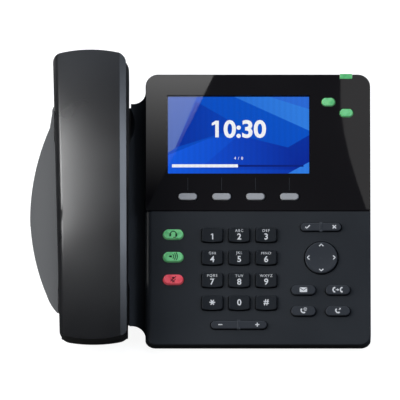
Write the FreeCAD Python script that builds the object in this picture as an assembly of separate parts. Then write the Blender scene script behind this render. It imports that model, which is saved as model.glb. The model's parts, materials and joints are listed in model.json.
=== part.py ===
import FreeCAD, Part
import math
import os

# A desk telephone for a network: a reclined body with a colour display and a keypad, a cradle on
# its left that holds the handset, and a folding stand behind.  Everything is modelled with the
# face lying flat: x runs across, y up the face and z straight out of it, with z = 0 on the
# keypad's surface, y = 0 on the face's lower edge and x = 0 half way across the body.  place()
# then reclines it all and stands it on the desk, with the origin under the middle of its box.

Vector = FreeCAD.Vector
X_AXIS = Vector(1, 0, 0)
Y_AXIS = Vector(0, 1, 0)
Z_AXIS = Vector(0, 0, 1)
ZERO = Vector(0, 0, 0)

# ---- body ----
RECLINE = 40.0          # degrees, face above the desk
BODY_WIDTH = 226.4
PANEL_WIDTH = 149.6
PANEL_LENGTH = 187.0
PANEL_CORNER = 7.0
PANEL_TOP_CORNER = 8.3
PANEL_ROLL = 4.5        # soft left edge of the keypad panel
EDGE_ROUND = 0.8
FRONT_WALL = 9.4        # height of the wall under the face's lower edge
SPLIT_Z = -20.0         # where the upper and rear housings meet
BACK_Z = -34.0
BACK_ROUND = 4.0
WALL = 2.5
SEAM_Y = 92.6           # lower edge of the display bezel
SEAM_GAP = 0.6
BEZEL_THICK = 2.2

# ---- cradle ----
CRADLE_BOTTOM = 13.8
CRADLE_LOW_R = 30.0     # the round from its left edge to its foot
CRADLE_TOP = 168.6
NOTCH_R = 9.6
WING_SWELL = 13.0       # how far the left edge bulges past its two ends
WING_LOW = 34.0
WING_MIDDLE = 90.5
WING_HIGH = 152.0
WING_SHOULDER = 14.6    # from the leftmost edge to the side of the cradle's top
BRIDGE_FROM_EDGE = 41.2
BRIDGE_TOP = -2.0
BRIDGE_REACH = 35.6     # how far the radius below carries the bridge before it drops too deep
BRIDGE_R = 70.0 * ((BODY_WIDTH - PANEL_WIDTH - BRIDGE_FROM_EDGE) / BRIDGE_REACH) ** 2
UNDERCUT = 0.36         # how far the cradle's lower wall leans in for each millimetre down
EAR_FLOOR = -17.0
EAR_POCKET = (-25.8, 25.4)   # from the handset's middle, to its left and right
EAR_POCKET_LENGTH = 59.4      # from the handset's ear end
EAR_SCOOP = (12.1, 154.5, 10.5)   # a flared corner: place from the handset's middle, up the face, low radius
MOUTH_FLOOR = -13.5
MOUTH_POCKET = (-22.9, 24.6)
MOUTH_POCKET_LENGTH = 49.8    # from the handset's mouth end
POCKET_CORNER = 6.0

# ---- display ----
SCREEN_OFFSET = -12.9   # from the panel's middle
SCREEN_RISE = 52.8      # from the seam
WINDOW = (95.2, 54.2)
LENS_MARGIN = 2.0
LENS_THICK = 1.2
LCD_SIZE = (105.5, 67.2)
LCD_THICK = 2.9
LCD_FIT = 0.3
BRACKET_THICK = 1.2
BRACKET_BORDER = 8.0
LAMP_FROM_RIGHT = 16.1
LAMP_SIZE = (8.2, 3.0)
LAMP_DEPTH = 8.0
LAMP_PROUD = 0.3

# ---- keys ----
KEY_GAP = 0.55
KEY_TRAVEL = 1.2
KEY_STOP_GAP = 0.3      # left between a key's foot and the mat when it is pressed
KEY_FLANGE = 1.2
KEY_FLANGE_GAP = 0.2
KEY_ROUND = 0.6
DIAL_OFFSET = -12.5     # the middle column, from the panel's middle
DIAL_PITCH = (17.9, 15.6)
DIAL_TOP = 17.0         # from the seam down to the first row
DIAL_NAMES = ("1", "2", "3", "4", "5", "6", "7", "8", "9", "star", "0", "hash")
DIAL_KEY = (13.9, 9.1)
DIAL_CORNER = 1.5
DIAL_BELLY = 0.6        # how far a dial key's lower edge bows
DIAL_PROUD = 2.0
DIAL_DISH_R = 48.0      # each dial key is hollowed across, like a gutter
DIAL_DISH_DEPTH = 0.35
FUNCTION_FROM_LEFT = 18.5
FUNCTION_RISE = 0.5     # above the row beside it
FUNCTION_NAMES = ("headset_key", "speaker_key", "mute_key")
FUNCTION_KEY = (13.0, 6.4)
FUNCTION_PROUD = 1.6
LOWER_FROM_RIGHT = (44.7, 21.9)
LOWER_ROWS = (37.4, 22.9)
LOWER_NAMES = ("message_key", "transfer_key", "call_log_key", "redial_key")
LOWER_KEY = (16.2, 6.4)
LOWER_PROUD = 2.0
SOFT_RISE = 9.6         # from the seam
SOFT_PITCH = 22.5
SOFT_KEY = (12.3, 4.6)
SOFT_PROUD = 1.0
LINE_FROM_CORNER = ((27.9, 19.1), (15.9, 26.7))   # from the panel's top right
LINE_KEY = (8.6, 5.3)
LINE_PROUD = 1.0
OK_FROM_RIGHT = 33.0
OK_Y = 80.9
OK_SIZE = (27.0, 5.3)
VOLUME_Y = 13.4
VOLUME_SIZE = (37.1, 5.4)
ROCKER_PROUD = 1.8
ROCKER_END_GAP = 0.6
ROCKER_AXLE_Z = -4.8
ROCKER_BASE_Z = -3.4
NAV_FROM_RIGHT = 32.8
NAV_Y = 59.8
NAV_R = 10.8
NAV_GAP = 0.8
NAV_PROUD = 1.6
NAV_DISH_R = 90.0
NAV_DISH_DEPTH = 0.5
NAV_BASE_Z = -2.6
NAV_AXLE_Z = -5.0
AXLE_R = 1.0
AXLE_FIT = 0.05
EAR_THICK = 2.0

# ---- boards, sound and switches ----
MAT_TOP = -8.8
MAT_THICK = 1.0
BOARD_THICK = 1.6
BOARD_MARGIN = 10.3     # from the panel's sides to a board's edge
KEY_BOARD_LOW_Y = 7.5
KEY_BOARD_LAP = 16.4    # how far it runs up behind the bezel
KEY_BOARD_TOP = 11.0    # from the panel's top
MAIN_BOARD_Y = (50.0, 35.0)   # from the lower edge, and from the panel's top
MAIN_BOARD_Z = -23.6
SPEAKER_Y = 92.0
SPEAKER_R = 20.0
SPEAKER_TOP = -9.5
SPEAKER_DEPTH = 10.0
SLOT_PITCH = 5.0
SLOT_WIDTH = 2.0
MIC_X = 60.0
MIC_R = 2.0
MIC_Z = -(WALL + 2.3)
MIC_HOLE_R = 0.8
PLUNGER_OFFSET = 5.6    # from the handset's middle
PLUNGER_Y = 160.0
PLUNGER_R = 4.0
PLUNGER_GAP = 0.4
PLUNGER_TRAVEL = 4.0
PLUNGER_REST = 0.05     # how far the pressed plunger stands out of the pocket's floor
PLUNGER_PLAY = 0.7      # from the pocket's underside to the flange of the released plunger
PLUNGER_STEP = 1.0      # the flange's thickness, and the tip's length below it
SWITCH_SIZE = (12.8, 6.5)
SWITCH_GAP = 0.6        # under the tip of the pressed plunger

# ---- screws ----
BOSS_MARGIN = 5.4       # from the panel's sides
BOSS_LOW_Y = 38.0
BOSS_FROM_TOP = 22.0
WING_BOSS = (8.2, 96.0)       # from the leftmost edge, and up the face
BRIDGE_BOSS = (13.6, 60.0)    # left of the panel, and up the face
BOSS_R = 3.0
REAR_BOSS_R = 4.2
SCREW_R = 1.4
SCREW_FIT = 0.05
SCREW_HEAD_R = 2.7
SCREW_HEAD_DEPTH = 2.0
COUNTERBORE_R = 3.0
COUNTERBORE_DEPTH = 3.0
SCREW_TIP_Z = -14.0

# ---- rear: sockets, wall holes and stand ----
HUMP_X = (-28.0, 36.0)
HUMP_BOTTOM_Y = 70.0
HUMP_Z = -50.0
HUMP_SLOPE = 6.0
HUMP_FLAT = 20.0
NET_PLACES = (-15.0, 4.0)
NET_BODY = (16.0, 16.0, 13.6)
NET_MOUTH = (11.8, 13.0, 8.4)
NET_LATCH = (4.0, 2.0)
POWER_X = 23.5
POWER_BODY = (9.0, 14.0, 11.0)
POWER_BORE_R = 3.1
POWER_PIN_R = 1.0
POWER_DEPTH = 10.0
SOCKET_FIT = 0.15
CORD_JACK_PLACES = (84.0, 67.0)
CORD_JACK_Z = -26.5
CORD_JACK_BODY = (13.0, 11.0, 9.0)
CORD_JACK_MOUTH = (10.0, 7.8, 6.8)
CORD_JACK_INSET = 1.6
WALL_HOLE_R = 2.5
WALL_HOLE_SPACING = 85.7
WALL_HOLE_LOW = 50.0
HINGE_Y = 135.0
HINGE_Z = -39.5
HINGE_R = 4.0
PIN_R = 1.5
LEG_X = 55.0
LEG_WIDTH = 10.0
LEG_THICK = 6.0
CHEEK_GAP = 0.3
CHEEK_THICK = 3.0
STAND_REACH = 36.0      # how far behind its hinge the stand's foot is, along the desk
FOOT_BAR = (62.0, 12.0, 7.0)
FOOT_PROUD = 1.2
FOOT_RECESS = 1.0
FRONT_FOOT_INSET = 17.2  # from the panel's sides
FRONT_FOOT_Y = 25.0     # along the desk
FRONT_FOOT_R = 7.0

# ---- handset ----
HANDSET_FROM_EDGE = 41.6     # from the body's leftmost edge to the handset's middle
HANDSET_YAW = 0.6       # degrees; a handset never lies quite straight in its cradle
HANDSET_LOW = -2.6
HANDSET_HIGH = 197.4
HANDSET_TOP = 33.0
BOW_R = 525.0
OUTER_MOUTH = (-22.5, 21.9)  # the outer shell's two sides at the mouth end
OUTER_EAR = (-25.4, 23.2)    # and at the ear end
INNER_MOUTH = (-21.3, 22.7)
INNER_EAR = (-24.2, 25.4)
END_SAG = 3.6
OUTER_CORNER = 6.0
INNER_CORNERS = (7.5, 12.0)  # at the mouth end and at the ear end
FACET = (4.2, 3.6)
LEFT_ROUND = 4.0
CROWN_DROP = 0.6
OUTER_DEPTH = 11.0      # from the top of the outer shell to the seam
SEAM_GROOVE = 0.6
SHELL = 2.2
LIP_THICK = 1.5
LIP_HEIGHT = 2.0
EAR_FACE = -16.6
MOUTH_FACE = -13.0
EAR_CENTRE_Y = 172.0
MOUTH_CENTRE_Y = 18.0
RECEIVER_R = 14.0
RECEIVER_DEPTH = 6.5
CAPSULE_R = 4.85
CAPSULE_DEPTH = 5.0
SOUND_HOLE_R = 1.1
SOUND_HOLE_PITCH = 5.0
GRIP_SCREW_Y = (66.0, 126.0)
GRIP_FLOOR = 17.0
WEIGHT_BOX = (12.0, 73.0, 119.0, 17.2, 22.2)
HANDSET_SOCKET_Z = 3.6
HANDSET_SOCKET_Y = 4.6

# ---- worked out ----
HALF = BODY_WIDTH / 2
PANEL_LEFT = HALF - PANEL_WIDTH
PANEL_MID = (HALF + PANEL_LEFT) / 2
HANDSET_X = -HALF + HANDSET_FROM_EDGE
BRIDGE_X = -HALF + BRIDGE_FROM_EDGE
SCREEN = (PANEL_MID + SCREEN_OFFSET, SEAM_Y + SCREEN_RISE)
DIAL_MIDDLE = PANEL_MID + DIAL_OFFSET
DIAL_COLUMNS = [DIAL_MIDDLE + step * DIAL_PITCH[0] for step in (-1, 0, 1)]
DIAL_ROWS = [SEAM_Y - DIAL_TOP - row * DIAL_PITCH[1] for row in range(4)]
FUNCTION_X = PANEL_LEFT + FUNCTION_FROM_LEFT
LOWER_COLUMNS = [HALF - inset for inset in LOWER_FROM_RIGHT]
LINE_PLACES = [(HALF - x, PANEL_LENGTH - y) for x, y in LINE_FROM_CORNER]
LAMP_X = HALF - LAMP_FROM_RIGHT
OK_PLACE = (HALF - OK_FROM_RIGHT, OK_Y)
NAV_PLACE = (HALF - NAV_FROM_RIGHT, NAV_Y)
VOLUME_PLACE = (DIAL_MIDDLE - 0.3, VOLUME_Y)
PLUNGER_PLACE = (HANDSET_X + PLUNGER_OFFSET, PLUNGER_Y)
SPEAKER_PLACE = (BRIDGE_X, SPEAKER_Y)
BOSS_PLACES = [(x, y) for y in (BOSS_LOW_Y, PANEL_LENGTH - BOSS_FROM_TOP)
               for x in (PANEL_LEFT + BOSS_MARGIN, HALF - BOSS_MARGIN)]
BOSS_PLACES += [(-HALF + WING_BOSS[0], WING_BOSS[1]), (PANEL_LEFT - BRIDGE_BOSS[0], BRIDGE_BOSS[1])]
FRONT_FOOT_PLACES = ((PANEL_LEFT + FRONT_FOOT_INSET, FRONT_FOOT_Y), (HALF - FRONT_FOOT_INSET, FRONT_FOOT_Y))
KEY_FOOT_Z = MAT_TOP + KEY_TRAVEL + KEY_STOP_GAP
TILT = math.radians(RECLINE)
FACET_LEVEL = -FRONT_WALL * math.cos(TILT)      # the underside's height in the level frame
FLOOR_LEVEL = FACET_LEVEL - FOOT_PROUD
DECK_LOW = -WALL
BEZEL_DECK_LOW = -BEZEL_THICK - WALL
HANDSET_MID = (HANDSET_LOW + HANDSET_HIGH) / 2
FAR = 400.0


def box(x, y, z):
    """A block between two values on each axis."""
    return Part.makeBox(x[1] - x[0], y[1] - y[0], z[1] - z[0], Vector(x[0], y[0], z[0]))


def block(centre, size, z):
    """A block centred in x and y."""
    return box((centre[0] - size[0] / 2, centre[0] + size[0] / 2),
               (centre[1] - size[1] / 2, centre[1] + size[1] / 2), z)


def disc(centre, radius, z):
    """An upright cylinder between two heights."""
    return Part.makeCylinder(radius, z[1] - z[0], Vector(centre[0], centre[1], z[0]))


def rod(radius, start, direction, length):
    """A cylinder from a point along an axis."""
    return Part.makeCylinder(radius, length, Vector(*start), direction)


def merged(shapes):
    """All the shapes as one."""
    first, rest = shapes[0], shapes[1:]
    return first.fuse(rest) if rest else first


def path(start, steps):
    """A closed face from a start and steps: one point is a line to it, two are an arc.

    A step of no length is left out, as where a pill has no straight sides.
    """
    edges = []
    here = Vector(start[0], start[1], 0)
    for step in steps:
        points = [Vector(p[0], p[1], 0) for p in step]
        if here.distanceToPoint(points[-1]) < 1e-6:
            continue
        if len(points) == 1:
            edges.append(Part.LineSegment(here, points[0]).toShape())
        else:
            edges.append(Part.Arc(here, points[0], points[1]).toShape())
        here = points[-1]
    first = Vector(start[0], start[1], 0)
    if here.distanceToPoint(first) > 1e-6:
        edges.append(Part.LineSegment(here, first).toShape())
    return Part.Face(Part.Wire(edges))


def on_circle(centre, radius, degrees):
    """A point on a circle."""
    angle = math.radians(degrees)
    return (centre[0] + radius * math.cos(angle), centre[1] + radius * math.sin(angle))


def rounded(centre, size, radius, top_radius=None):
    """A rounded rectangle's face; a pill if radius is half its height.  Its upper corners may differ."""
    x0, x1 = centre[0] - size[0] / 2, centre[0] + size[0] / 2
    y0, y1 = centre[1] - size[1] / 2, centre[1] + size[1] / 2
    r, t = radius, top_radius or radius
    steps = [((x1 - r, y0),), (on_circle((x1 - r, y0 + r), r, -45), (x1, y0 + r))]
    steps.append(((x1, y1 - t),))
    steps += [(on_circle((x1 - t, y1 - t), t, 45), (x1 - t, y1)), ((x0 + t, y1),),
              (on_circle((x0 + t, y1 - t), t, 135), (x0, y1 - t))]
    steps.append(((x0, y0 + r),))
    steps.append((on_circle((x0 + r, y0 + r), r, 225), (x0 + r, y0)))
    return path((x0 + r, y0), steps)


def prism(face, z):
    """A flat face raised between two heights."""
    solid = face.extrude(Vector(0, 0, z[1] - z[0]))
    solid.translate(Vector(0, 0, z[0]))
    return solid


def key_prism(centre, size, corner, belly, z):
    """A key's outline raised between two heights; belly bows its lower edge."""
    if not belly:
        return prism(rounded(centre, size, corner), z)
    x0, x1 = centre[0] - size[0] / 2, centre[0] + size[0] / 2
    y0, y1 = centre[1] - size[1] / 2, centre[1] + size[1] / 2
    solid = prism(path((x0, y0), [((centre[0], y0 - belly), (x1, y0)), ((x1, y1),), ((x0, y1),)]), z)
    tall = z[1] - z[0]
    upright = [e for e in solid.Edges if e.BoundBox.ZLength > tall / 2]
    return solid.makeFillet(corner, upright)


def edges_at(shape, z):
    """The edges that lie all in one height."""
    return [e for e in shape.Edges
            if abs(e.BoundBox.ZMin - z) < 1e-4 and abs(e.BoundBox.ZMax - z) < 1e-4]


def softened(shape, z, radius):
    """The shape with its edges at one height rounded."""
    return shape.makeFillet(radius, edges_at(shape, z))


def side_profile(face, x):
    """A face drawn as (y, z), raised between two values of x."""
    solid = face.extrude(Vector(0, 0, x[1] - x[0]))
    solid.rotate(ZERO, Vector(1, 1, 1), 120)
    solid.translate(Vector(x[0], 0, 0))
    return solid


def from_level(shape):
    """A shape drawn with the desk level, turned into the frame of the face."""
    shape.rotate(ZERO, X_AXIS, -RECLINE)
    return shape


def to_level(y, z):
    """A point of the face's frame in the level frame."""
    return (y * math.cos(TILT) - z * math.sin(TILT), y * math.sin(TILT) + z * math.cos(TILT))


def below_level(height):
    """Everything under a level plane."""
    return from_level(box((-FAR, FAR), (-FAR, FAR), (-FAR, height)))


# ---- outlines of the body ----

def wing_steps():
    """The cradle's edge, from its top right round the left to the notch at its foot."""
    shoulder = -HALF + WING_SHOULDER
    low = (-HALF + WING_SWELL - 1.4, WING_LOW)
    centre_y = CRADLE_BOTTOM + CRADLE_LOW_R
    centre = (low[0] + math.sqrt(CRADLE_LOW_R ** 2 - (centre_y - low[1]) ** 2), centre_y)
    notch_c = bottom_notch()
    corner_c = (PANEL_LEFT + PANEL_CORNER, PANEL_CORNER)
    swing = math.degrees(math.atan2(corner_c[1] - notch_c[1], corner_c[0] - notch_c[0]))
    return [((shoulder + 5.0, CRADLE_TOP),),
            ((shoulder + 1.3, CRADLE_TOP - 1.8), (shoulder, CRADLE_TOP - 6.2)),
            ((-HALF + WING_SWELL, WING_HIGH),),
            ((-HALF, WING_MIDDLE), low),
            (on_circle(centre, CRADLE_LOW_R, 225), (centre[0], CRADLE_BOTTOM)),
            ((notch_c[0], CRADLE_BOTTOM),),
            (on_circle(notch_c, NOTCH_R, (90 + swing) / 2), on_circle(notch_c, NOTCH_R, swing))]


def bottom_notch():
    """The centre of the notch at the cradle's foot, tangent to the panel's rounded corner."""
    y = CRADLE_BOTTOM - NOTCH_R
    reach = math.sqrt((NOTCH_R + PANEL_CORNER) ** 2 - (PANEL_CORNER - y) ** 2)
    return (PANEL_LEFT + PANEL_CORNER - reach, y)


def top_notch_step():
    """The arc of the notch at the cradle's top, from the panel's edge to the cradle's."""
    centre = (PANEL_LEFT - NOTCH_R, CRADLE_TOP + NOTCH_R)
    return [(on_circle(centre, NOTCH_R, -45), (centre[0], CRADLE_TOP))]


def body_outline():
    """The whole body's outline."""
    r, tr = PANEL_CORNER, PANEL_TOP_CORNER
    right, top = HALF, PANEL_LENGTH
    start = (PANEL_LEFT + r, 0)
    notch_c = bottom_notch()
    corner_c = (PANEL_LEFT + r, r)
    meet = math.degrees(math.atan2(notch_c[1] - corner_c[1], notch_c[0] - corner_c[0])) % 360
    steps = [((right - r, 0),), (on_circle((right - r, r), r, -45), (right, r)),
             ((right, top - tr),), (on_circle((right - tr, top - tr), tr, 45), (right - tr, top)),
             ((PANEL_LEFT + tr, top),),
             (on_circle((PANEL_LEFT + tr, top - tr), tr, 135), (PANEL_LEFT, top - tr)),
             ((PANEL_LEFT, CRADLE_TOP + NOTCH_R),)]
    steps += top_notch_step() + wing_steps()
    steps.append((on_circle(corner_c, r, (meet + 270) / 2), start))
    return path(start, steps)


def cradle_outline():
    """The cradle's outline, closed a little inside the panel."""
    inside = PANEL_LEFT + PANEL_ROLL
    notch_end = wing_steps()[-1][-1]
    steps = top_notch_step() + wing_steps()
    steps += [((inside, notch_end[1]),), ((inside, CRADLE_TOP + NOTCH_R),)]
    return path((PANEL_LEFT, CRADLE_TOP + NOTCH_R), steps)


def panel_face(inset=0.0):
    """The main panel's outline, or one set in from it."""
    size = (PANEL_WIDTH - 2 * inset, PANEL_LENGTH - 2 * inset)
    return rounded((PANEL_MID, PANEL_LENGTH / 2), size, PANEL_CORNER - inset, PANEL_TOP_CORNER - inset)


def leaning(face, top, reach):
    """A face lowered from a height along a slope, so that its lower walls are undercut."""
    solid = face.extrude(Vector(0, UNDERCUT * reach, -reach))
    solid.translate(Vector(0, 0, top))
    return solid


def undercut(shape, face, inset=0.0):
    """The shape with the cradle's lower wall leaning in under the outline."""
    top = BRIDGE_TOP - WALL - inset
    reach = top - BACK_Z + 2
    left = box((-FAR, PANEL_LEFT), (-FAR, WING_MIDDLE), (top - reach + 0.5, top))
    return shape.cut(left.cut(leaning(face, top, reach)))


def bridge_drum(inset=0.0):
    """The round that gives the cradle its crowned top."""
    return rod(BRIDGE_R - inset, (BRIDGE_X, -FAR, BRIDGE_TOP - BRIDGE_R), Y_AXIS, 2 * FAR)


def pockets(grow=0.0):
    """The two hollows that take the handset's cups; grow gives the room of their walls as well."""
    def hollow(x, y, floor):
        size = (x[1] - x[0] + 2 * grow, y[1] - y[0] + 2 * grow)
        face = rounded((HANDSET_X + (x[0] + x[1]) / 2, (y[0] + y[1]) / 2), size, POCKET_CORNER + grow)
        return prism(face, (floor - grow, FAR))
    ear = hollow(EAR_POCKET, (HANDSET_HIGH - EAR_POCKET_LENGTH, CRADLE_TOP + 30), EAR_FLOOR)
    mouth = hollow(MOUTH_POCKET, (-30, HANDSET_LOW + MOUTH_POCKET_LENGTH), MOUTH_FLOOR)
    # the flared corner widens by as much as it rises
    x, y, radius = EAR_SCOOP
    rise = -MOUTH_FLOOR
    wall = grow * math.sqrt(2)
    scoop = Part.makeCone(radius + wall, radius + wall + rise, rise, Vector(HANDSET_X + x, y, MOUTH_FLOOR))
    return ear.fuse([mouth, scoop])


# ---- keys ----

def key_list():
    """Every plain key: name, centre, size, corner, belly, height over the face, underside of its deck."""
    keys = []
    for index, label in enumerate(DIAL_NAMES):
        centre = (DIAL_COLUMNS[index % 3], DIAL_ROWS[index // 3])
        keys.append(("dial_key_" + label, centre, DIAL_KEY, DIAL_CORNER, DIAL_BELLY, DIAL_PROUD, DECK_LOW))
    for name, y in zip(FUNCTION_NAMES, DIAL_ROWS):
        centre = (FUNCTION_X, y + FUNCTION_RISE)
        keys.append((name, centre, FUNCTION_KEY, FUNCTION_KEY[1] / 2, 0, FUNCTION_PROUD, DECK_LOW))
    for index, name in enumerate(LOWER_NAMES):
        centre = (LOWER_COLUMNS[index % 2], LOWER_ROWS[index // 2])
        keys.append((name, centre, LOWER_KEY, LOWER_KEY[1] / 2, 0, LOWER_PROUD, DECK_LOW))
    for index in range(4):
        centre = (SCREEN[0] + (index - 1.5) * SOFT_PITCH, SEAM_Y + SOFT_RISE)
        keys.append(("soft_key_%d" % (index + 1), centre, SOFT_KEY, SOFT_KEY[1] / 2, 0, SOFT_PROUD,
                     BEZEL_DECK_LOW))
    for index, centre in enumerate(LINE_PLACES):
        keys.append(("line_key_%d" % (index + 1), centre, LINE_KEY, LINE_KEY[1] / 2, 0, LINE_PROUD,
                     BEZEL_DECK_LOW))
    return keys


def grown(size, by):
    """A size with the same margin on every side."""
    return (size[0] + 2 * by, size[1] + 2 * by)


def key_solid(centre, size, corner, belly, proud, deck_low):
    """A key: its cap, the flange that keeps it under the deck, and its foot."""
    flange_top = deck_low - KEY_FLANGE_GAP
    cap = key_prism(centre, size, corner, belly, (flange_top - KEY_FLANGE, proud))
    cap = softened(cap, proud, KEY_ROUND)
    if belly:
        gutter = rod(DIAL_DISH_R, (centre[0], -FAR, proud - DIAL_DISH_DEPTH + DIAL_DISH_R), Y_AXIS, 2 * FAR)
        cap = cap.cut(gutter)
    flange = prism(rounded(centre, grown(size, KEY_FLANGE), corner + KEY_FLANGE),
                   (flange_top - KEY_FLANGE, flange_top))
    foot = block(centre, grown(size, -1.4), (KEY_FOOT_Z, flange_top - KEY_FLANGE / 2))
    return cap.fuse([flange, foot]).removeSplitter()


def key_hole(centre, size, corner, belly):
    """The hole that a key comes up through."""
    return key_prism(centre, grown(size, KEY_GAP), corner + KEY_GAP, belly, (KEY_FOOT_Z, FAR))


def rocker_solid(place, size):
    """A two-way key on a cross axle at its middle, with a ridge across its cap."""
    cap = prism(rounded(place, size, size[1] / 2), (ROCKER_BASE_Z, ROCKER_PROUD))
    cap = softened(cap, ROCKER_PROUD, KEY_ROUND)
    ridge = block(place, (1.2, size[1] - 1.4), (0, ROCKER_PROUD + 0.3))
    hub = block(place, (6.0, size[1]), (ROCKER_AXLE_Z - 1.5, ROCKER_BASE_Z))
    half = size[1] / 2 + KEY_GAP + EAR_THICK
    axle = rod(AXLE_R, (place[0], place[1] - half, ROCKER_AXLE_Z), Y_AXIS, 2 * half)
    return cap.fuse([ridge, hub, axle]).removeSplitter()


def rocker_hole(place, size):
    """The hole for a rocker, a little longer at its ends where the cap swings."""
    opening = (size[0] + 2 * ROCKER_END_GAP, size[1] + 2 * KEY_GAP)
    return prism(rounded(place, opening, opening[1] / 2), (ROCKER_BASE_Z - 1, FAR))


def rocker_ears(place, size):
    """The two ears under the deck that hold a rocker's axle."""
    ears = []
    for side in (-1, 1):
        near = size[1] / 2 + KEY_GAP
        y = sorted((place[1] + side * near, place[1] + side * (near + EAR_THICK)))
        ear = box((place[0] - 2.5, place[0] + 2.5), y, (ROCKER_AXLE_Z - 2, DECK_LOW + 0.5))
        bore = rod(AXLE_R + AXLE_FIT, (place[0], place[1] - FAR, ROCKER_AXLE_Z), Y_AXIS, 2 * FAR)
        ears.append(ear.cut(bore))
    return ears


def nav_pad():
    """The round four-way pad, dished, with two lugs on the pivot's upright axle."""
    cap = disc(NAV_PLACE, NAV_R, (NAV_BASE_Z, NAV_PROUD))
    cap = softened(cap, NAV_PROUD, KEY_ROUND)
    dish = Part.makeSphere(NAV_DISH_R, Vector(*NAV_PLACE, NAV_PROUD - NAV_DISH_DEPTH + NAV_DISH_R))
    lugs = []
    for side in (-1, 1):
        y = sorted((NAV_PLACE[1] + side * 2.6, NAV_PLACE[1] + side * 4.4))
        lug = box((NAV_PLACE[0] - 2.2, NAV_PLACE[0] + 2.2), y, (NAV_AXLE_Z - 1.8, NAV_BASE_Z))
        lugs.append(lug)
    bore = rod(AXLE_R + AXLE_FIT, (NAV_PLACE[0], NAV_PLACE[1] - 5, NAV_AXLE_Z), Y_AXIS, 10)
    return cap.cut(dish).fuse(lugs).cut(bore).removeSplitter()


def nav_reach():
    """How far from the pad's centre its outer ears begin."""
    return NAV_R + NAV_GAP + 0.8


def nav_pivot():
    """The cross under the pad: one axle in the housing, one in the pad."""
    half = nav_reach() + EAR_THICK
    across = rod(AXLE_R, (NAV_PLACE[0] - half, NAV_PLACE[1], NAV_AXLE_Z), X_AXIS, 2 * half)
    along = rod(AXLE_R, (NAV_PLACE[0], NAV_PLACE[1] - 4.6, NAV_AXLE_Z), Y_AXIS, 9.2)
    return across.fuse(along).removeSplitter()


def nav_ears():
    """The two ears under the deck that hold the pivot."""
    ears = []
    for side in (-1, 1):
        x = sorted((NAV_PLACE[0] + side * nav_reach(), NAV_PLACE[0] + side * (nav_reach() + EAR_THICK)))
        ear = box(x, (NAV_PLACE[1] - 2.2, NAV_PLACE[1] + 2.2), (NAV_AXLE_Z - 2, DECK_LOW + 0.5))
        bore = rod(AXLE_R + AXLE_FIT, (NAV_PLACE[0] - FAR, NAV_PLACE[1], NAV_AXLE_Z), X_AXIS, 2 * FAR)
        ears.append(ear.cut(bore))
    return ears


# ---- housings ----

def speaker_slots():
    """Slots through the cradle's bridge, over the loudspeaker."""
    slots = []
    for index in range(-3, 4):
        offset = index * SLOT_PITCH
        length = 2 * math.sqrt((SPEAKER_R - 3) ** 2 - offset ** 2)
        face = rounded((BRIDGE_X + offset, SPEAKER_Y), (SLOT_WIDTH, length), SLOT_WIDTH / 2)
        slots.append(prism(face, (SPEAKER_TOP, 0)))
    return slots


def lamp_block(grow=0.0):
    """The message lamp, which wraps from the face over the body's top edge."""
    x = (LAMP_X - LAMP_SIZE[0] / 2 - grow, LAMP_X + LAMP_SIZE[0] / 2 + grow)
    y = (PANEL_LENGTH - LAMP_SIZE[1] - grow, PANEL_LENGTH + LAMP_PROUD + grow)
    return box(x, y, (-LAMP_DEPTH - grow, LAMP_PROUD + grow))


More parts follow.
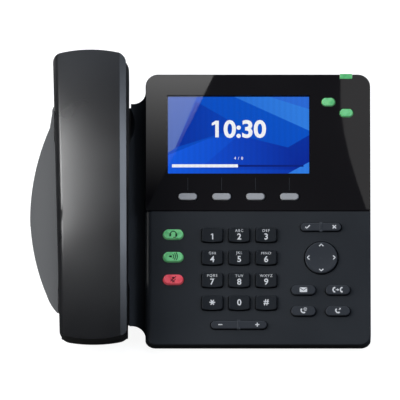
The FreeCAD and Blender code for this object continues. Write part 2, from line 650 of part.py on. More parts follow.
def upper_housing():
    """The upper shell: keypad deck, the bed of the bezel, the cradle and its pockets."""
    panel = softened(prism(panel_face(), (SPLIT_Z, 0)), 0, EDGE_ROUND)
    roll_x = PANEL_LEFT + PANEL_ROLL
    roll = box((PANEL_LEFT - 1, roll_x), (-1, SEAM_Y), (-PANEL_ROLL, 1))
    roll = roll.cut(rod(PANEL_ROLL, (roll_x, -FAR, -PANEL_ROLL), Y_AXIS, 2 * FAR))
    bed = box((-FAR, FAR), (SEAM_Y - SEAM_GAP, FAR), (-BEZEL_THICK, FAR))
    panel = panel.cut([roll, bed])
    cradle = prism(cradle_outline(), (SPLIT_Z, 0)).common(bridge_drum())
    shell = undercut(panel.fuse(cradle).cut(pockets()), body_outline())

    inner = panel_face(WALL)
    riser = SEAM_Y - WALL
    low_room = prism(inner, (SPLIT_Z - 1, DECK_LOW)).common(box((-FAR, FAR), (-FAR, riser), (-FAR, FAR)))
    high_room = prism(inner, (SPLIT_Z - 1, BEZEL_DECK_LOW))
    cradle_inner = body_outline().makeOffset2D(-WALL)
    left_of_panel = box((-FAR, PANEL_LEFT), (-FAR, FAR), (-FAR, FAR))
    cradle_room = prism(cradle_inner, (SPLIT_Z - 1, 0)).common(bridge_drum(WALL)).common(left_of_panel)
    cradle_room = undercut(cradle_room.cut(pockets(WALL)), cradle_inner, WALL)
    floor_skin = below_level(FACET_LEVEL + WALL)
    shell = shell.cut([low_room.cut(floor_skin), high_room.cut(floor_skin), cradle_room.cut(floor_skin)])
    shell = shell.cut(box((PANEL_LEFT - 1, PANEL_LEFT + WALL + 1), (50, 130), (SPLIT_Z - 1, SPLIT_Z + 4)))

    posts = [disc(place, BOSS_R, (SPLIT_Z, BEZEL_DECK_LOW)) for place in BOSS_PLACES]
    posts = [p.common(bridge_drum(WALL / 2)) if p.BoundBox.XMax < PANEL_LEFT else p for p in posts]
    seat = disc(SPEAKER_PLACE, SPEAKER_R + 1.8, (SPEAKER_TOP - 3, BRIDGE_TOP - 1))
    seat = seat.cut(disc(SPEAKER_PLACE, SPEAKER_R + SOCKET_FIT, (-FAR, FAR)))
    seat = seat.common(bridge_drum(WALL / 2))
    ears = rocker_ears(OK_PLACE, OK_SIZE) + rocker_ears(VOLUME_PLACE, VOLUME_SIZE) + nav_ears()
    shell = shell.fuse(posts + [seat] + ears)

    holes = [key_hole(k[1], k[2], k[3], k[4]) for k in key_list()]
    holes += [rocker_hole(OK_PLACE, OK_SIZE), rocker_hole(VOLUME_PLACE, VOLUME_SIZE)]
    holes.append(disc(NAV_PLACE, NAV_R + NAV_GAP, (NAV_BASE_Z - 1, FAR)))
    holes.append(block(SCREEN, grown(LCD_SIZE, LCD_FIT), (-12, FAR)))
    holes.append(lamp_block(0.1))
    holes += speaker_slots()
    holes.append(disc(PLUNGER_PLACE, PLUNGER_R + PLUNGER_GAP, (SPLIT_Z - 1, FAR)))
    holes.append(rod(MIC_HOLE_R, (MIC_X, -1, MIC_Z), Y_AXIS, WALL + 2))
    holes += [disc(place, SCREW_R + SCREW_FIT, (SPLIT_Z - 1, SCREW_TIP_Z + 1)) for place in BOSS_PLACES]
    shell = shell.cut(holes)
    return shell.cut(below_level(FACET_LEVEL)).cut(front_feet(0.1)).removeSplitter()


def hump_profile(inset=0.0):
    """The side view, as (y, z), of the swelling behind that carries the sockets."""
    rise = (BACK_Z - HUMP_Z) / math.cos(TILT) * math.sin(TILT)
    y0, z = HUMP_BOTTOM_Y + inset, HUMP_Z + inset
    y1, y2 = y0 + HUMP_SLOPE, HUMP_BOTTOM_Y + HUMP_SLOPE + HUMP_FLAT
    # the upper face is square to the desk's level, so that plugs go in straight from behind
    back = inset / math.cos(TILT)
    top_shift = inset * math.tan(TILT) - back
    inner_top = BACK_Z + 2 * WALL
    y3 = y2 + rise + top_shift + (inner_top - BACK_Z - inset) * math.tan(TILT)
    return path((y0 - HUMP_SLOPE * 0.3, inner_top), [((y1 - HUMP_SLOPE * 0.3, z),), ((y2 + top_shift, z),),
                                                     ((y3, inner_top),)])


def socket_face_y():
    """Where the sockets' face stands in the level frame."""
    return to_level(HUMP_BOTTOM_Y + HUMP_SLOPE + HUMP_FLAT, HUMP_Z)[0]


def socket_mid_z():
    """The height of the sockets' centres in the level frame."""
    y = HUMP_BOTTOM_Y + HUMP_SLOPE + HUMP_FLAT
    low = to_level(y, HUMP_Z)[1]
    high = to_level(y + (BACK_Z - HUMP_Z) * math.tan(TILT), BACK_Z)[1]
    return (low + high) / 2


def level_block(x, size, fit=0.0, deeper=0.0):
    """A block behind the sockets' face: size is across, deep and tall."""
    face_y, mid = socket_face_y(), socket_mid_z()
    return from_level(box((x - size[0] / 2 - fit, x + size[0] / 2 + fit),
                          (face_y - size[1] - fit, face_y + deeper),
                          (mid - size[2] / 2 - fit, mid + size[2] / 2 + fit)))


def network_jack(x):
    """One eight-way socket: a block with its mouth and the groove for the plug's latch."""
    mouth = level_block(x, NET_MOUTH, 0, 1)
    mid = socket_mid_z()
    latch = from_level(box((x - NET_LATCH[0] / 2, x + NET_LATCH[0] / 2),
                           (socket_face_y() - NET_MOUTH[1], socket_face_y() + 1),
                           (mid - NET_MOUTH[2] / 2 - NET_LATCH[1], mid)))
    return level_block(x, NET_BODY).cut([mouth, latch])


def power_jack():
    """The round power inlet with its centre pin."""
    start = socket_face_y() - POWER_DEPTH
    bore = rod(POWER_BORE_R, (POWER_X, start, socket_mid_z()), Y_AXIS, POWER_DEPTH + 1)
    pin = rod(POWER_PIN_R, (POWER_X, start - 1, socket_mid_z()), Y_AXIS, POWER_DEPTH - 1)
    return level_block(POWER_X, POWER_BODY).cut(from_level(bore)).fuse(from_level(pin))


def cord_jack_x(y):
    """Where the left wall stands at one height up the face."""
    under = UNDERCUT * (BRIDGE_TOP - WALL - CORD_JACK_Z)
    bow = WING_SWELL * ((y - under - WING_MIDDLE) / (WING_HIGH - WING_MIDDLE)) ** 2
    return -HALF + bow + CORD_JACK_INSET


def cord_jack(y, fit=0.0, through=0.0):
    """A four-way socket in the left wall; with through, the room that it takes in the housing."""
    x = cord_jack_x(y)
    size = CORD_JACK_BODY
    body = box((x - through, x + size[0] + fit), (y - size[1] / 2 - fit, y + size[1] / 2 + fit),
               (CORD_JACK_Z - size[2] / 2 - fit, CORD_JACK_Z + size[2] / 2 + fit))
    if through:
        return body
    mouth = CORD_JACK_MOUTH
    return body.cut(box((x - 1, x + mouth[0]), (y - mouth[1] / 2, y + mouth[1] / 2),
                        (CORD_JACK_Z - mouth[2] / 2, CORD_JACK_Z + mouth[2] / 2)))


def front_feet(grow=0.0):
    """Two round rubber feet let into the level underside."""
    feet = []
    for x, y in FRONT_FOOT_PLACES:
        feet.append(from_level(disc((x, y), FRONT_FOOT_R + grow, (FLOOR_LEVEL, FACET_LEVEL + FOOT_RECESS))))
    return Part.makeCompound(feet)


def cheek_spans():
    """The x spans of the four cheeks that hold the stand's pins."""
    spans = []
    for side in (-1, 1):
        for edge in (-1, 1):
            near = side * LEG_X + edge * (LEG_WIDTH / 2 + CHEEK_GAP)
            spans.append(tuple(sorted((near, near + edge * CHEEK_THICK))))
    return spans


def rear_housing():
    """The rear shell: back, level underside, the sockets' swelling and the stand's cheeks."""
    shell = softened(prism(body_outline(), (BACK_Z, SPLIT_Z)), BACK_Z, BACK_ROUND)
    shell = undercut(shell, body_outline())
    hump = side_profile(hump_profile(), HUMP_X)
    cheeks = []
    for span in cheek_spans():
        web = box(span, (HINGE_Y - HINGE_R, HINGE_Y + HINGE_R), (HINGE_Z, BACK_Z + WALL))
        cheeks += [web, rod(HINGE_R, (span[0], HINGE_Y, HINGE_Z), X_AXIS, CHEEK_THICK)]
    shell = shell.fuse([hump] + cheeks)

    inner = body_outline().makeOffset2D(-WALL)
    room = undercut(prism(inner, (BACK_Z + WALL, SPLIT_Z + 1)), inner, WALL)
    room = room.cut(below_level(FACET_LEVEL + WALL))
    hump_room = side_profile(hump_profile(WALL), (HUMP_X[0] + WALL, HUMP_X[1] - WALL))
    shell = shell.cut([room, hump_room])
    posts = [disc(place, REAR_BOSS_R, (BACK_Z + WALL / 2, SPLIT_Z)) for place in BOSS_PLACES]
    shell = shell.fuse(posts)

    holes = [disc(place, COUNTERBORE_R, (BACK_Z - 1, BACK_Z + COUNTERBORE_DEPTH)) for place in BOSS_PLACES]
    holes += [disc(place, SCREW_R + 0.3, (BACK_Z - 1, SPLIT_Z + 1)) for place in BOSS_PLACES]
    holes += [level_block(x, NET_BODY, SOCKET_FIT, 5) for x in NET_PLACES]
    holes.append(level_block(POWER_X, POWER_BODY, SOCKET_FIT, 5))
    holes += [cord_jack(y, SOCKET_FIT, 6) for y in CORD_JACK_PLACES]
    for y in (WALL_HOLE_LOW, WALL_HOLE_LOW + WALL_HOLE_SPACING):
        holes.append(disc((0, y), WALL_HOLE_R, (BACK_Z - 1, BACK_Z + WALL + 1)))
    for side in (-1, 1):
        holes.append(rod(PIN_R, (side * LEG_X - 20, HINGE_Y, HINGE_Z), X_AXIS, 40))
    shell = shell.cut(holes)
    return shell.cut(below_level(FACET_LEVEL)).cut(front_feet(0.1)).removeSplitter()


def display_bezel():
    """The glossy plate round the display, with holes for its keys and the lamp."""
    plate = prism(panel_face(), (-BEZEL_THICK, 0))
    plate = plate.common(box((-FAR, FAR), (SEAM_Y, FAR), (-FAR, FAR)))
    plate = softened(plate, 0, EDGE_ROUND / 2)
    lens_room = block(SCREEN, grown(WINDOW, LENS_MARGIN), (-FAR, LENS_THICK - BEZEL_THICK))
    holes = [block(SCREEN, WINDOW, (-FAR, FAR)), lens_room, lamp_block(0.1)]
    holes += [key_hole(k[1], k[2], k[3], k[4]) for k in key_list() if k[6] == BEZEL_DECK_LOW]
    return plate.cut(holes)


def screws():
    """Pan-head screws that hold the two housings together from behind."""
    made = []
    head_z = BACK_Z + COUNTERBORE_DEPTH
    for place in BOSS_PLACES:
        shank = disc(place, SCREW_R, (head_z - 0.5, SCREW_TIP_Z))
        head = disc(place, SCREW_HEAD_R, (head_z - SCREW_HEAD_DEPTH, head_z))
        drive = block(place, (3.2, 0.8), (head_z - SCREW_HEAD_DEPTH, head_z - SCREW_HEAD_DEPTH + 1))
        cross = block(place, (0.8, 3.2), (head_z - SCREW_HEAD_DEPTH, head_z - SCREW_HEAD_DEPTH + 1))
        made.append(shank.fuse(head).cut([drive, cross]).removeSplitter())
    return Part.makeCompound(made)


# ---- inner pieces ----

def key_layer(z):
    """A sheet under all the keys, between two heights, clear of the housings' posts."""
    left, right = PANEL_LEFT + BOARD_MARGIN, HALF - BOARD_MARGIN
    lap = SEAM_Y + KEY_BOARD_LAP
    beside_screen = SCREEN[0] + LCD_SIZE[0] / 2 + LCD_FIT + 0.7
    low = box((left, right), (KEY_BOARD_LOW_Y, lap), z)
    return low.fuse(box((beside_screen, right), (lap - 1, PANEL_LENGTH - KEY_BOARD_TOP), z))


def main_board():
    """The main circuit board with its larger components."""
    x = (PANEL_LEFT + BOARD_MARGIN + 2, HALF - BOARD_MARGIN - 1)
    y = (MAIN_BOARD_Y[0], PANEL_LENGTH - MAIN_BOARD_Y[1])
    board = box(x, y, (MAIN_BOARD_Z, MAIN_BOARD_Z + BOARD_THICK))
    top = MAIN_BOARD_Z + BOARD_THICK
    chips = [block((60, 120), (17, 17), (top, top + 1.4)), block((36, 122), (12, 10), (top, top + 1.2)),
             block((62, 92), (10, 14), (top, top + 1.2)), block((88, 75), (8, 8), (top, top + 3.0))]
    return Part.makeCompound([board] + chips)


def loudspeaker():
    """A round loudspeaker: a basket with a stepped magnet behind."""
    basket = disc(SPEAKER_PLACE, SPEAKER_R, (SPEAKER_TOP - 3, SPEAKER_TOP))
    cone = Part.makeCone(SPEAKER_R * 0.62, SPEAKER_R - 1.5, 3, Vector(*SPEAKER_PLACE, SPEAKER_TOP - 6))
    magnet = disc(SPEAKER_PLACE, SPEAKER_R * 0.5, (SPEAKER_TOP - SPEAKER_DEPTH, SPEAKER_TOP - 6))
    return basket.fuse([cone, magnet]).removeSplitter()


def hook_plunger():
    """The round plunger that the handset presses down, with its flange under the floor."""
    top = EAR_FLOOR + PLUNGER_REST
    flange = EAR_FLOOR - WALL - PLUNGER_TRAVEL - PLUNGER_PLAY
    stem = disc(PLUNGER_PLACE, PLUNGER_R, (flange - PLUNGER_STEP, top))
    stem = softened(stem, top, 1.0)
    return stem.fuse([disc(PLUNGER_PLACE, PLUNGER_R + 1.5, (flange - PLUNGER_STEP, flange)),
                      disc(PLUNGER_PLACE, 1.5, (flange - 2 * PLUNGER_STEP, flange - PLUNGER_STEP))]).removeSplitter()


def hook_switch():
    """The small switch under the plunger."""
    low = BACK_Z + WALL + 0.1
    tip = EAR_FLOOR - WALL - PLUNGER_TRAVEL - PLUNGER_PLAY - 2 * PLUNGER_STEP
    return block(PLUNGER_PLACE, SWITCH_SIZE, (low, tip - SWITCH_GAP))


def lcd_bracket():
    """The frame that holds the display against the bezel."""
    z = -BEZEL_THICK - 0.1 - LCD_THICK
    plate = block(SCREEN, LCD_SIZE, (z - BRACKET_THICK, z))
    return plate.cut(block(SCREEN, grown(LCD_SIZE, -BRACKET_BORDER), (z - 5, z + 1)))


# ---- stand ----

def stand_frame():
    """The level-frame places of the hinge and of the foot's middle."""
    hinge = to_level(HINGE_Y, HINGE_Z)
    return hinge, (hinge[0] + STAND_REACH, FLOOR_LEVEL)


def foot_stand():
    """The folding stand: two legs on pins and a bar between their feet."""
    hinge, foot = stand_frame()
    half_x, depth, height = FOOT_BAR
    bar = box((-half_x, half_x), (foot[0] - depth / 2 - 1, foot[0] + depth / 2 - 1),
              (foot[1] + FOOT_PROUD, foot[1] + FOOT_PROUD + height))
    bar = bar.makeFillet(2.0, [e for e in bar.Edges if e.BoundBox.XLength > half_x])
    reach = math.hypot(foot[0] - hinge[0], foot[1] - hinge[1])
    lean = math.degrees(math.atan2(foot[0] - hinge[0], hinge[1] - foot[1]))
    parts = [bar]
    for side in (-1, 1):
        x = (side * LEG_X - LEG_WIDTH / 2, side * LEG_X + LEG_WIDTH / 2)
        leg = box(x, (-LEG_THICK / 2, LEG_THICK / 2), (-reach + 4, 0))
        leg = leg.fuse(rod(HINGE_R, (x[0], 0, 0), X_AXIS, LEG_WIDTH))
        leg.rotate(ZERO, X_AXIS, lean)
        leg.translate(Vector(0, hinge[0], hinge[1]))
        parts.append(leg)
    stand = merged(parts)
    bore = rod(PIN_R + AXLE_FIT, (-FAR, hinge[0], hinge[1]), X_AXIS, 2 * FAR)
    pad_room = stand_pad_block(0.1)
    return from_level(stand.cut([bore, pad_room]).removeSplitter())


def stand_pad_block(grow=0.0):
    """The rubber strip under the stand's bar, in the level frame."""
    _, foot = stand_frame()
    half_x, depth, _ = FOOT_BAR
    return box((-half_x + 6 - grow, half_x - 6 + grow),
               (foot[0] - depth / 2 + 1.5 - grow, foot[0] + depth / 2 - 3.5 + grow),
               (foot[1], foot[1] + FOOT_PROUD + FOOT_RECESS))


def stand_pins():
    """The two steel pins that the stand turns on."""
    half = LEG_WIDTH / 2 + CHEEK_GAP + CHEEK_THICK
    return Part.makeCompound([rod(PIN_R, (side * LEG_X - half, HINGE_Y, HINGE_Z), X_AXIS, 2 * half)
                              for side in (-1, 1)])


# ---- handset, drawn about x = 0 and then laid in the cradle ----

def handset_plan(mouth, ear, corners, inset=0.0):
    """A tapered outline with bowed ends and rounded corners, as an upright prism.

    mouth and ear are the two sides' places at each end, and corners the radii at each end.
    """
    low, high = HANDSET_LOW + inset, HANDSET_HIGH - inset
    (x0, x1), (x2, x3) = mouth, ear
    x0, x1, x2, x3 = x0 + inset, x1 - inset, x2 + inset, x3 - inset
    face = path((x0, low + END_SAG), [(((x0 + x1) / 2, low), (x1, low + END_SAG)),
                                      ((x3, high - END_SAG),),
                                      (((x2 + x3) / 2, high), (x2, high - END_SAG))])
    solid = prism(face, (-60, 60))
    for radius, at_end in ((corners[0], lambda y: y < HANDSET_MID), (corners[1], lambda y: y > HANDSET_MID)):
        upright = [e for e in solid.Edges if e.BoundBox.ZLength > 100 and at_end(e.BoundBox.Center.y)]
        solid = solid.makeFillet(radius - inset, upright)
    return solid


def outer_plan(inset=0.0):
    """The outer shell's outline."""
    return handset_plan(OUTER_MOUTH, OUTER_EAR, (OUTER_CORNER, OUTER_CORNER), inset)


def inner_plan(inset=0.0):
    """The inner shell's outline, wider on the right, where the cups stand out."""
    return handset_plan(INNER_MOUTH, INNER_EAR, INNER_CORNERS, inset)


def bow_drum(depth):
    """The long round that the handset's back follows, a depth below its crown."""
    return rod(BOW_R - depth, (-FAR, HANDSET_MID, HANDSET_TOP - BOW_R), X_AXIS, 2 * FAR)


def bow_ring(face):
    """A cross-section drawn as (x, z) at the handset's middle, swept along its bow."""
    section = face.copy()
    section.rotate(ZERO, X_AXIS, 90)
    section.translate(Vector(0, HANDSET_MID, 0))
    centre = Vector(0, HANDSET_MID, HANDSET_TOP - BOW_R)
    swing = math.degrees(math.asin((HANDSET_HIGH - HANDSET_LOW) / 2 / BOW_R)) + 2
    section.rotate(centre, X_AXIS, -swing)
    return section.revolve(centre, X_AXIS, 2 * swing)


def along_side(section, mouth_x, ear_x):
    """A cross-section swept along the bow beside a tapering edge; its x is 0 on that edge."""
    lean = math.degrees(math.atan2(mouth_x - ear_x, HANDSET_HIGH - HANDSET_LOW))
    swept = bow_ring(section)
    swept.rotate(Vector(0, HANDSET_MID, 0), Z_AXIS, lean)
    swept.translate(Vector((mouth_x + ear_x) / 2, 0, 0))
    return swept


def handset_crown(inset=0.0):
    """The back's surface: bowed along its length and slightly across."""
    left, right = OUTER_EAR[0] - 3, OUTER_EAR[1] + 3
    edge, low = HANDSET_TOP - CROWN_DROP - inset, HANDSET_TOP - OUTER_DEPTH + SEAM_GROOVE
    if inset:
        return bow_ring(path((left, low - 1), [((right, low - 1),), ((right, edge),), ((left, edge),)]))
    return bow_ring(path((left, low), [((right, low),), ((right, edge),), ((0, HANDSET_TOP), (left, edge))]))


def handset_outer_shell():
    """The handset's back: rounded on its left, faceted on its right, bowed along its length."""
    top = HANDSET_TOP - CROWN_DROP
    r, over = LEFT_ROUND, 4.0
    left_scrap = path((-over, top - r), [((0, top - r),), (on_circle((r, top - r), r, 135), (r, top)),
                                         ((r, top + over),), ((-over, top + over),)])
    right_scrap = path((0, top - FACET[1]), [((over, top - FACET[1]),), ((over, top + over),),
                                             ((-FACET[0], top + over),), ((-FACET[0], top),)])
    shell = handset_crown().common(outer_plan())
    shell = shell.cut([along_side(left_scrap, OUTER_MOUTH[0], OUTER_EAR[0]),
                       along_side(right_scrap, OUTER_MOUTH[1], OUTER_EAR[1])])
    room = handset_crown(SHELL + FACET[1] / 2).common(outer_plan(SHELL))
    shell = shell.cut(room)
    for y in GRIP_SCREW_Y:
        post = disc((0, y), 3.2, (GRIP_FLOOR, HANDSET_TOP - SHELL))
        shell = shell.fuse(post).cut(disc((0, y), 1.35, (GRIP_FLOOR - 1, HANDSET_TOP - 2 * SHELL)))
    return shell.removeSplitter()


def grip_profile():
    """The handset's underside as (y, z): mouth cup, grip and ear cup, open at the top."""
    low, high = HANDSET_LOW, HANDSET_HIGH
    mouth, ear = MOUTH_FACE, EAR_FACE
    return path((low - 20, 45), [((low - 20, 9.0),), ((low, 9.0),), ((low + 5.0, 4.0),),
                                 ((low + 9.0, mouth + 5),),
                                 ((low + 10.6, mouth + 1.4), (low + 14.0, mouth)),
                                 ((low + 39.5, mouth),),
                                 ((low + 41.7, mouth + 0.8), (low + 43, mouth + 2.6)),
                                 ((low + 50, 5.0),), ((low + 55, 11.0), (low + 64, 13.0)),
                                 ((HANDSET_MID, 14.2), (high - 66, 13.0)),
                                 ((high - 57, 11.0), (high - 52.5, 5.0)),
                                 ((high - 50, ear + 2.6),),
                                 ((high - 49.2, ear + 0.7), (high - 47.3, ear)),
                                 ((high - 6, ear),), ((high - 2.2, ear + 1.6), (high + 0.2, ear + 5.6)),
                                 ((high + 0.2, 14.0),), ((high + 20, 14.0),), ((high + 20, 45),)])


def sound_holes(y, face_z, rings):
    """Small holes through a cup's face, one in the middle and rings of them round it."""
    holes = [disc((0, y), SOUND_HOLE_R, (face_z - 1, face_z + SHELL + 1))]
    for ring in range(1, rings + 1):
        for index in range(6 * ring):
            place = on_circle((0, y), SOUND_HOLE_PITCH * ring, index * 60 / ring)
            holes.append(disc(place, SOUND_HOLE_R, (face_z - 1, face_z + SHELL + 1)))
    return holes


def handset_inner_shell():
    """The handset's underside, hollow, with a lip that the outer shell closes over."""
    profile = grip_profile()
    span = (-40, 40)
    solid = side_profile(profile, span).common(inner_plan()).common(bow_drum(OUTER_DEPTH))
    room = side_profile(profile.makeOffset2D(-SHELL), span).common(inner_plan(SHELL))
    room = room.common(bow_drum(OUTER_DEPTH + LIP_HEIGHT))
    mouth_of_room = outer_plan(SHELL + 0.1 + LIP_THICK)
    rim = mouth_of_room.common(bow_drum(0)).cut(bow_drum(OUTER_DEPTH + LIP_HEIGHT + 0.01))
    lip = outer_plan(SHELL + 0.1).common(bow_drum(OUTER_DEPTH - LIP_HEIGHT))
    lip = lip.cut([bow_drum(OUTER_DEPTH + 1), mouth_of_room])
    posts = [disc((0, y), 4.2, (GRIP_FLOOR - 3, GRIP_FLOOR)) for y in GRIP_SCREW_Y]
    shell = solid.fuse(lip).cut([room, rim]).fuse(posts)
    holes = sound_holes(EAR_CENTRE_Y, EAR_FACE, 2) + sound_holes(MOUTH_CENTRE_Y, MOUTH_FACE, 1)
    for y in GRIP_SCREW_Y:
        holes += [disc((0, y), 1.6, (0, GRIP_FLOOR + 1)), disc((0, y), 2.9, (0, GRIP_FLOOR - 1.8))]
    holes.append(handset_socket_block(SOCKET_FIT, 12))
    return shell.cut(holes).removeSplitter()


def handset_socket_block(fit=0.0, outwards=0.0):
    """The room of the cord's socket in the handset's mouth end."""
    size = CORD_JACK_BODY
    y = (HANDSET_SOCKET_Y - outwards, HANDSET_SOCKET_Y + size[0] + fit)
    return box((-size[1] / 2 - fit, size[1] / 2 + fit), y,
               (HANDSET_SOCKET_Z - size[2] / 2 - fit, HANDSET_SOCKET_Z + size[2] / 2 + fit))


def handset_socket():
    """The four-way socket in the handset's mouth end."""
    mouth = CORD_JACK_MOUTH
    return handset_socket_block().cut(box((-mouth[1] / 2, mouth[1] / 2),
                                          (HANDSET_SOCKET_Y - 1, HANDSET_SOCKET_Y + mouth[0]),
                                          (HANDSET_SOCKET_Z - mouth[2] / 2, HANDSET_SOCKET_Z + mouth[2] / 2)))


def handset_screws():
    """Two screws up through the grip."""
    made = []
    for y in GRIP_SCREW_Y:
        shank = disc((0, y), 1.3, (GRIP_FLOOR - 2, GRIP_FLOOR + 9))
        made.append(shank.fuse(disc((0, y), 2.6, (GRIP_FLOOR - 3.4, GRIP_FLOOR - 1.8))).removeSplitter())
    return Part.makeCompound(made)


def handset_parts():
    """Every piece of the handset, laid in the cradle."""
    x, y0, y1, z0, z1 = WEIGHT_BOX
    ear_room, mouth_room = EAR_FACE + SHELL, MOUTH_FACE + SHELL
    parts = {
        "handset_outer_shell": handset_outer_shell(),
        "handset_inner_shell": handset_inner_shell(),
        "handset_receiver": disc((0, EAR_CENTRE_Y), RECEIVER_R, (ear_room, ear_room + RECEIVER_DEPTH)),
        "handset_microphone": disc((0, MOUTH_CENTRE_Y), CAPSULE_R, (mouth_room, mouth_room + CAPSULE_DEPTH)),
        "handset_weight": box((-x, x), (y0, y1), (z0, z1)),
        "handset_socket": handset_socket(),
        "handset_screws": handset_screws(),
    }
    for shape in parts.values():
        shape.rotate(Vector(0, HANDSET_MID, 0), Z_AXIS, HANDSET_YAW)
        shape.translate(Vector(HANDSET_X, 0, 0))
    return parts


# ---- the whole phone ----

def all_parts():
    """Every node by name, in the frame of the face."""
    mat = (MAT_TOP - MAT_THICK, MAT_TOP)
    lens_z = (-BEZEL_THICK, -BEZEL_THICK + LENS_THICK)
    lcd_top = -BEZEL_THICK - 0.1
    mic_y = WALL + 0.1
    parts = {
        "upper_housing": upper_housing(),
        "rear_housing": rear_housing(),
        "display_bezel": display_bezel(),
        "display_lens": block(SCREEN, grown(WINDOW, LENS_MARGIN - 0.1), lens_z),
        "lcd_module": block(SCREEN, LCD_SIZE, (lcd_top - LCD_THICK, lcd_top)),
        "lcd_bracket": lcd_bracket(),
        "status_light": lamp_block(),
        "key_mat": key_layer(mat),
        "key_board": key_layer((mat[0] - BOARD_THICK, mat[0])),
        "main_board": main_board(),
        "loudspeaker": loudspeaker(),
        "base_microphone": rod(MIC_R, (MIC_X, mic_y, MIC_Z), Y_AXIS, 2.2),
        "hook_plunger": hook_plunger(),
        "hook_switch": hook_switch(),
        "housing_screws": screws(),
        "network_jacks": Part.makeCompound([network_jack(x) for x in NET_PLACES]),
        "power_jack": power_jack(),
        "handset_jack": cord_jack(CORD_JACK_PLACES[0]),
        "headset_jack": cord_jack(CORD_JACK_PLACES[1]),
        "front_feet": front_feet(),
        "foot_stand": foot_stand(),
        "stand_pins": stand_pins(),
        "stand_pad": from_level(stand_pad_block()),
        "ok_cancel_rocker": rocker_solid(OK_PLACE, OK_SIZE),
        "volume_rocker": rocker_solid(VOLUME_PLACE, VOLUME_SIZE),
        "nav_pad": nav_pad(),
        "nav_pivot": nav_pivot(),
    }
    for name, centre, size, corner, belly, proud, deck_low in key_list():
        parts[name] = key_solid(centre, size, corner, belly, proud, deck_low)
    parts.update(handset_parts())
    return parts


def place(parts):
    """Recline every part and stand the phone on the desk; returns the shift that this took."""
    whole = FreeCAD.BoundBox()
    for shape in parts.values():
        shape.rotate(ZERO, X_AXIS, RECLINE)
        whole.add(shape.optimalBoundingBox(False))
    shift = Vector(-whole.Center.x, -whole.Center.y, -whole.ZMin)
    for shape in parts.values():
        shape.translate(shift)
    return shift


def main():
    """Write one STEP file for each part."""
    os.makedirs("parts", exist_ok=True)
    parts = all_parts()
    place(parts)
    for name, shape in parts.items():
        shape.exportStep("parts/" + name + ".step")


main()
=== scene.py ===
"""Looks for a reclined desk telephone.

Finishes for every part, the lettering and symbols on the keys, the picture on the display, and the studio.
"""
import json
import logging
import math
from dataclasses import dataclass, field
from enum import Enum
from typing import Iterable, Sequence

import bpy
from mathutils import Matrix, Vector


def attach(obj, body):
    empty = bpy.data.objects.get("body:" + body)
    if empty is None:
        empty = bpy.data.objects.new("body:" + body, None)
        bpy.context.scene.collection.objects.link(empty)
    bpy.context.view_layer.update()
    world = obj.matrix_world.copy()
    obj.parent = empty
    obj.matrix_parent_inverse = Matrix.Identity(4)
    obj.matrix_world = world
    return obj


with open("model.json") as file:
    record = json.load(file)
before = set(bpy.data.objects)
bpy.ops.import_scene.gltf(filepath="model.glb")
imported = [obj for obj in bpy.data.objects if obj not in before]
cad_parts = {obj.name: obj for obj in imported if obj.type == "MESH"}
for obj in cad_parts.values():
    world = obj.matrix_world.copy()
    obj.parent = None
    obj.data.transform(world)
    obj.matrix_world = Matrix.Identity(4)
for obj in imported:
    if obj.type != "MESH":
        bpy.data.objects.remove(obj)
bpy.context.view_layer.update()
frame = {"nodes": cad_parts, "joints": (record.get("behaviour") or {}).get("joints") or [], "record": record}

MM = 0.001
NOISE_SPAN = (0.3, 0.7)     # a noise pattern keeps almost wholly between these values
ACROSS = Vector((1, 0, 0))  # the user's right
log = logging.getLogger("desk_phone")

Point = tuple[float, float]
Point3 = tuple[float, float, float]


# ---------------------------------------------------------------- finishes

def linear(hex_colour: str) -> tuple[float, float, float, float]:
    """Turn an sRGB hex colour into the linear RGBA that a shader takes.

    Args:
        hex_colour: six hex digits, such as "1e1f21".

    Returns:
        Red, green, blue and an alpha of 1.
    """
    def channel(text: str) -> float:
        """One channel's linear value."""
        value = int(text, 16) / 255
        return value / 12.92 if value <= 0.04045 else ((value + 0.055) / 1.055) ** 2.4
    return (channel(hex_colour[0:2]), channel(hex_colour[2:4]), channel(hex_colour[4:6]), 1.0)


def add(tree: bpy.types.NodeTree, kind: str, settings: dict | None = None,
        links: dict | None = None) -> bpy.types.Node:
    """Add one shader node with its settings and its incoming links.

    Args:
        tree: the material's or the world's node tree.
        kind: the node's type, such as "ShaderNodeBump".
        settings: socket values by socket name or index, and node properties by ".name".
        links: for each input socket, the output socket that feeds it.

    Returns:
        The new node.
    """
    node = tree.nodes.new(kind)
    for key, value in (settings or {}).items():
        if isinstance(key, str) and key.startswith("."):
            setattr(node, key[1:], value)
        else:
            node.inputs[key].default_value = value
    for key, source in (links or {}).items():
        tree.links.new(source, node.inputs[key])
    return node


def blank(name: str) -> tuple[bpy.types.Material, bpy.types.NodeTree]:
    """Make an empty node material.

    Args:
        name: the finish's common name.

    Returns:
        The material and its node tree.
    """
    material = bpy.data.materials.new(name)
    material.use_nodes = True
    material.node_tree.nodes.clear()
    return material, material.node_tree


def ramp(tree: bpy.types.NodeTree, source: bpy.types.NodeSocket, low: str, high: str,
         start: float = 0.35, stop: float = 0.65) -> bpy.types.NodeSocket:
    """Blend two colours over a grey value.

    Args:
        tree: the node tree.
        source: the grey value.
        low: sRGB hex at and below start.
        high: sRGB hex at and above stop.
        start: where the blend begins.
        stop: where it ends.

    Returns:
        The colour output.
    """
    node = add(tree, "ShaderNodeValToRGB", links={"Fac": source})
    node.color_ramp.elements[0].position = start
    node.color_ramp.elements[0].color = linear(low)
    node.color_ramp.elements[1].position = stop
    node.color_ramp.elements[1].color = linear(high)
    return node.outputs["Color"]


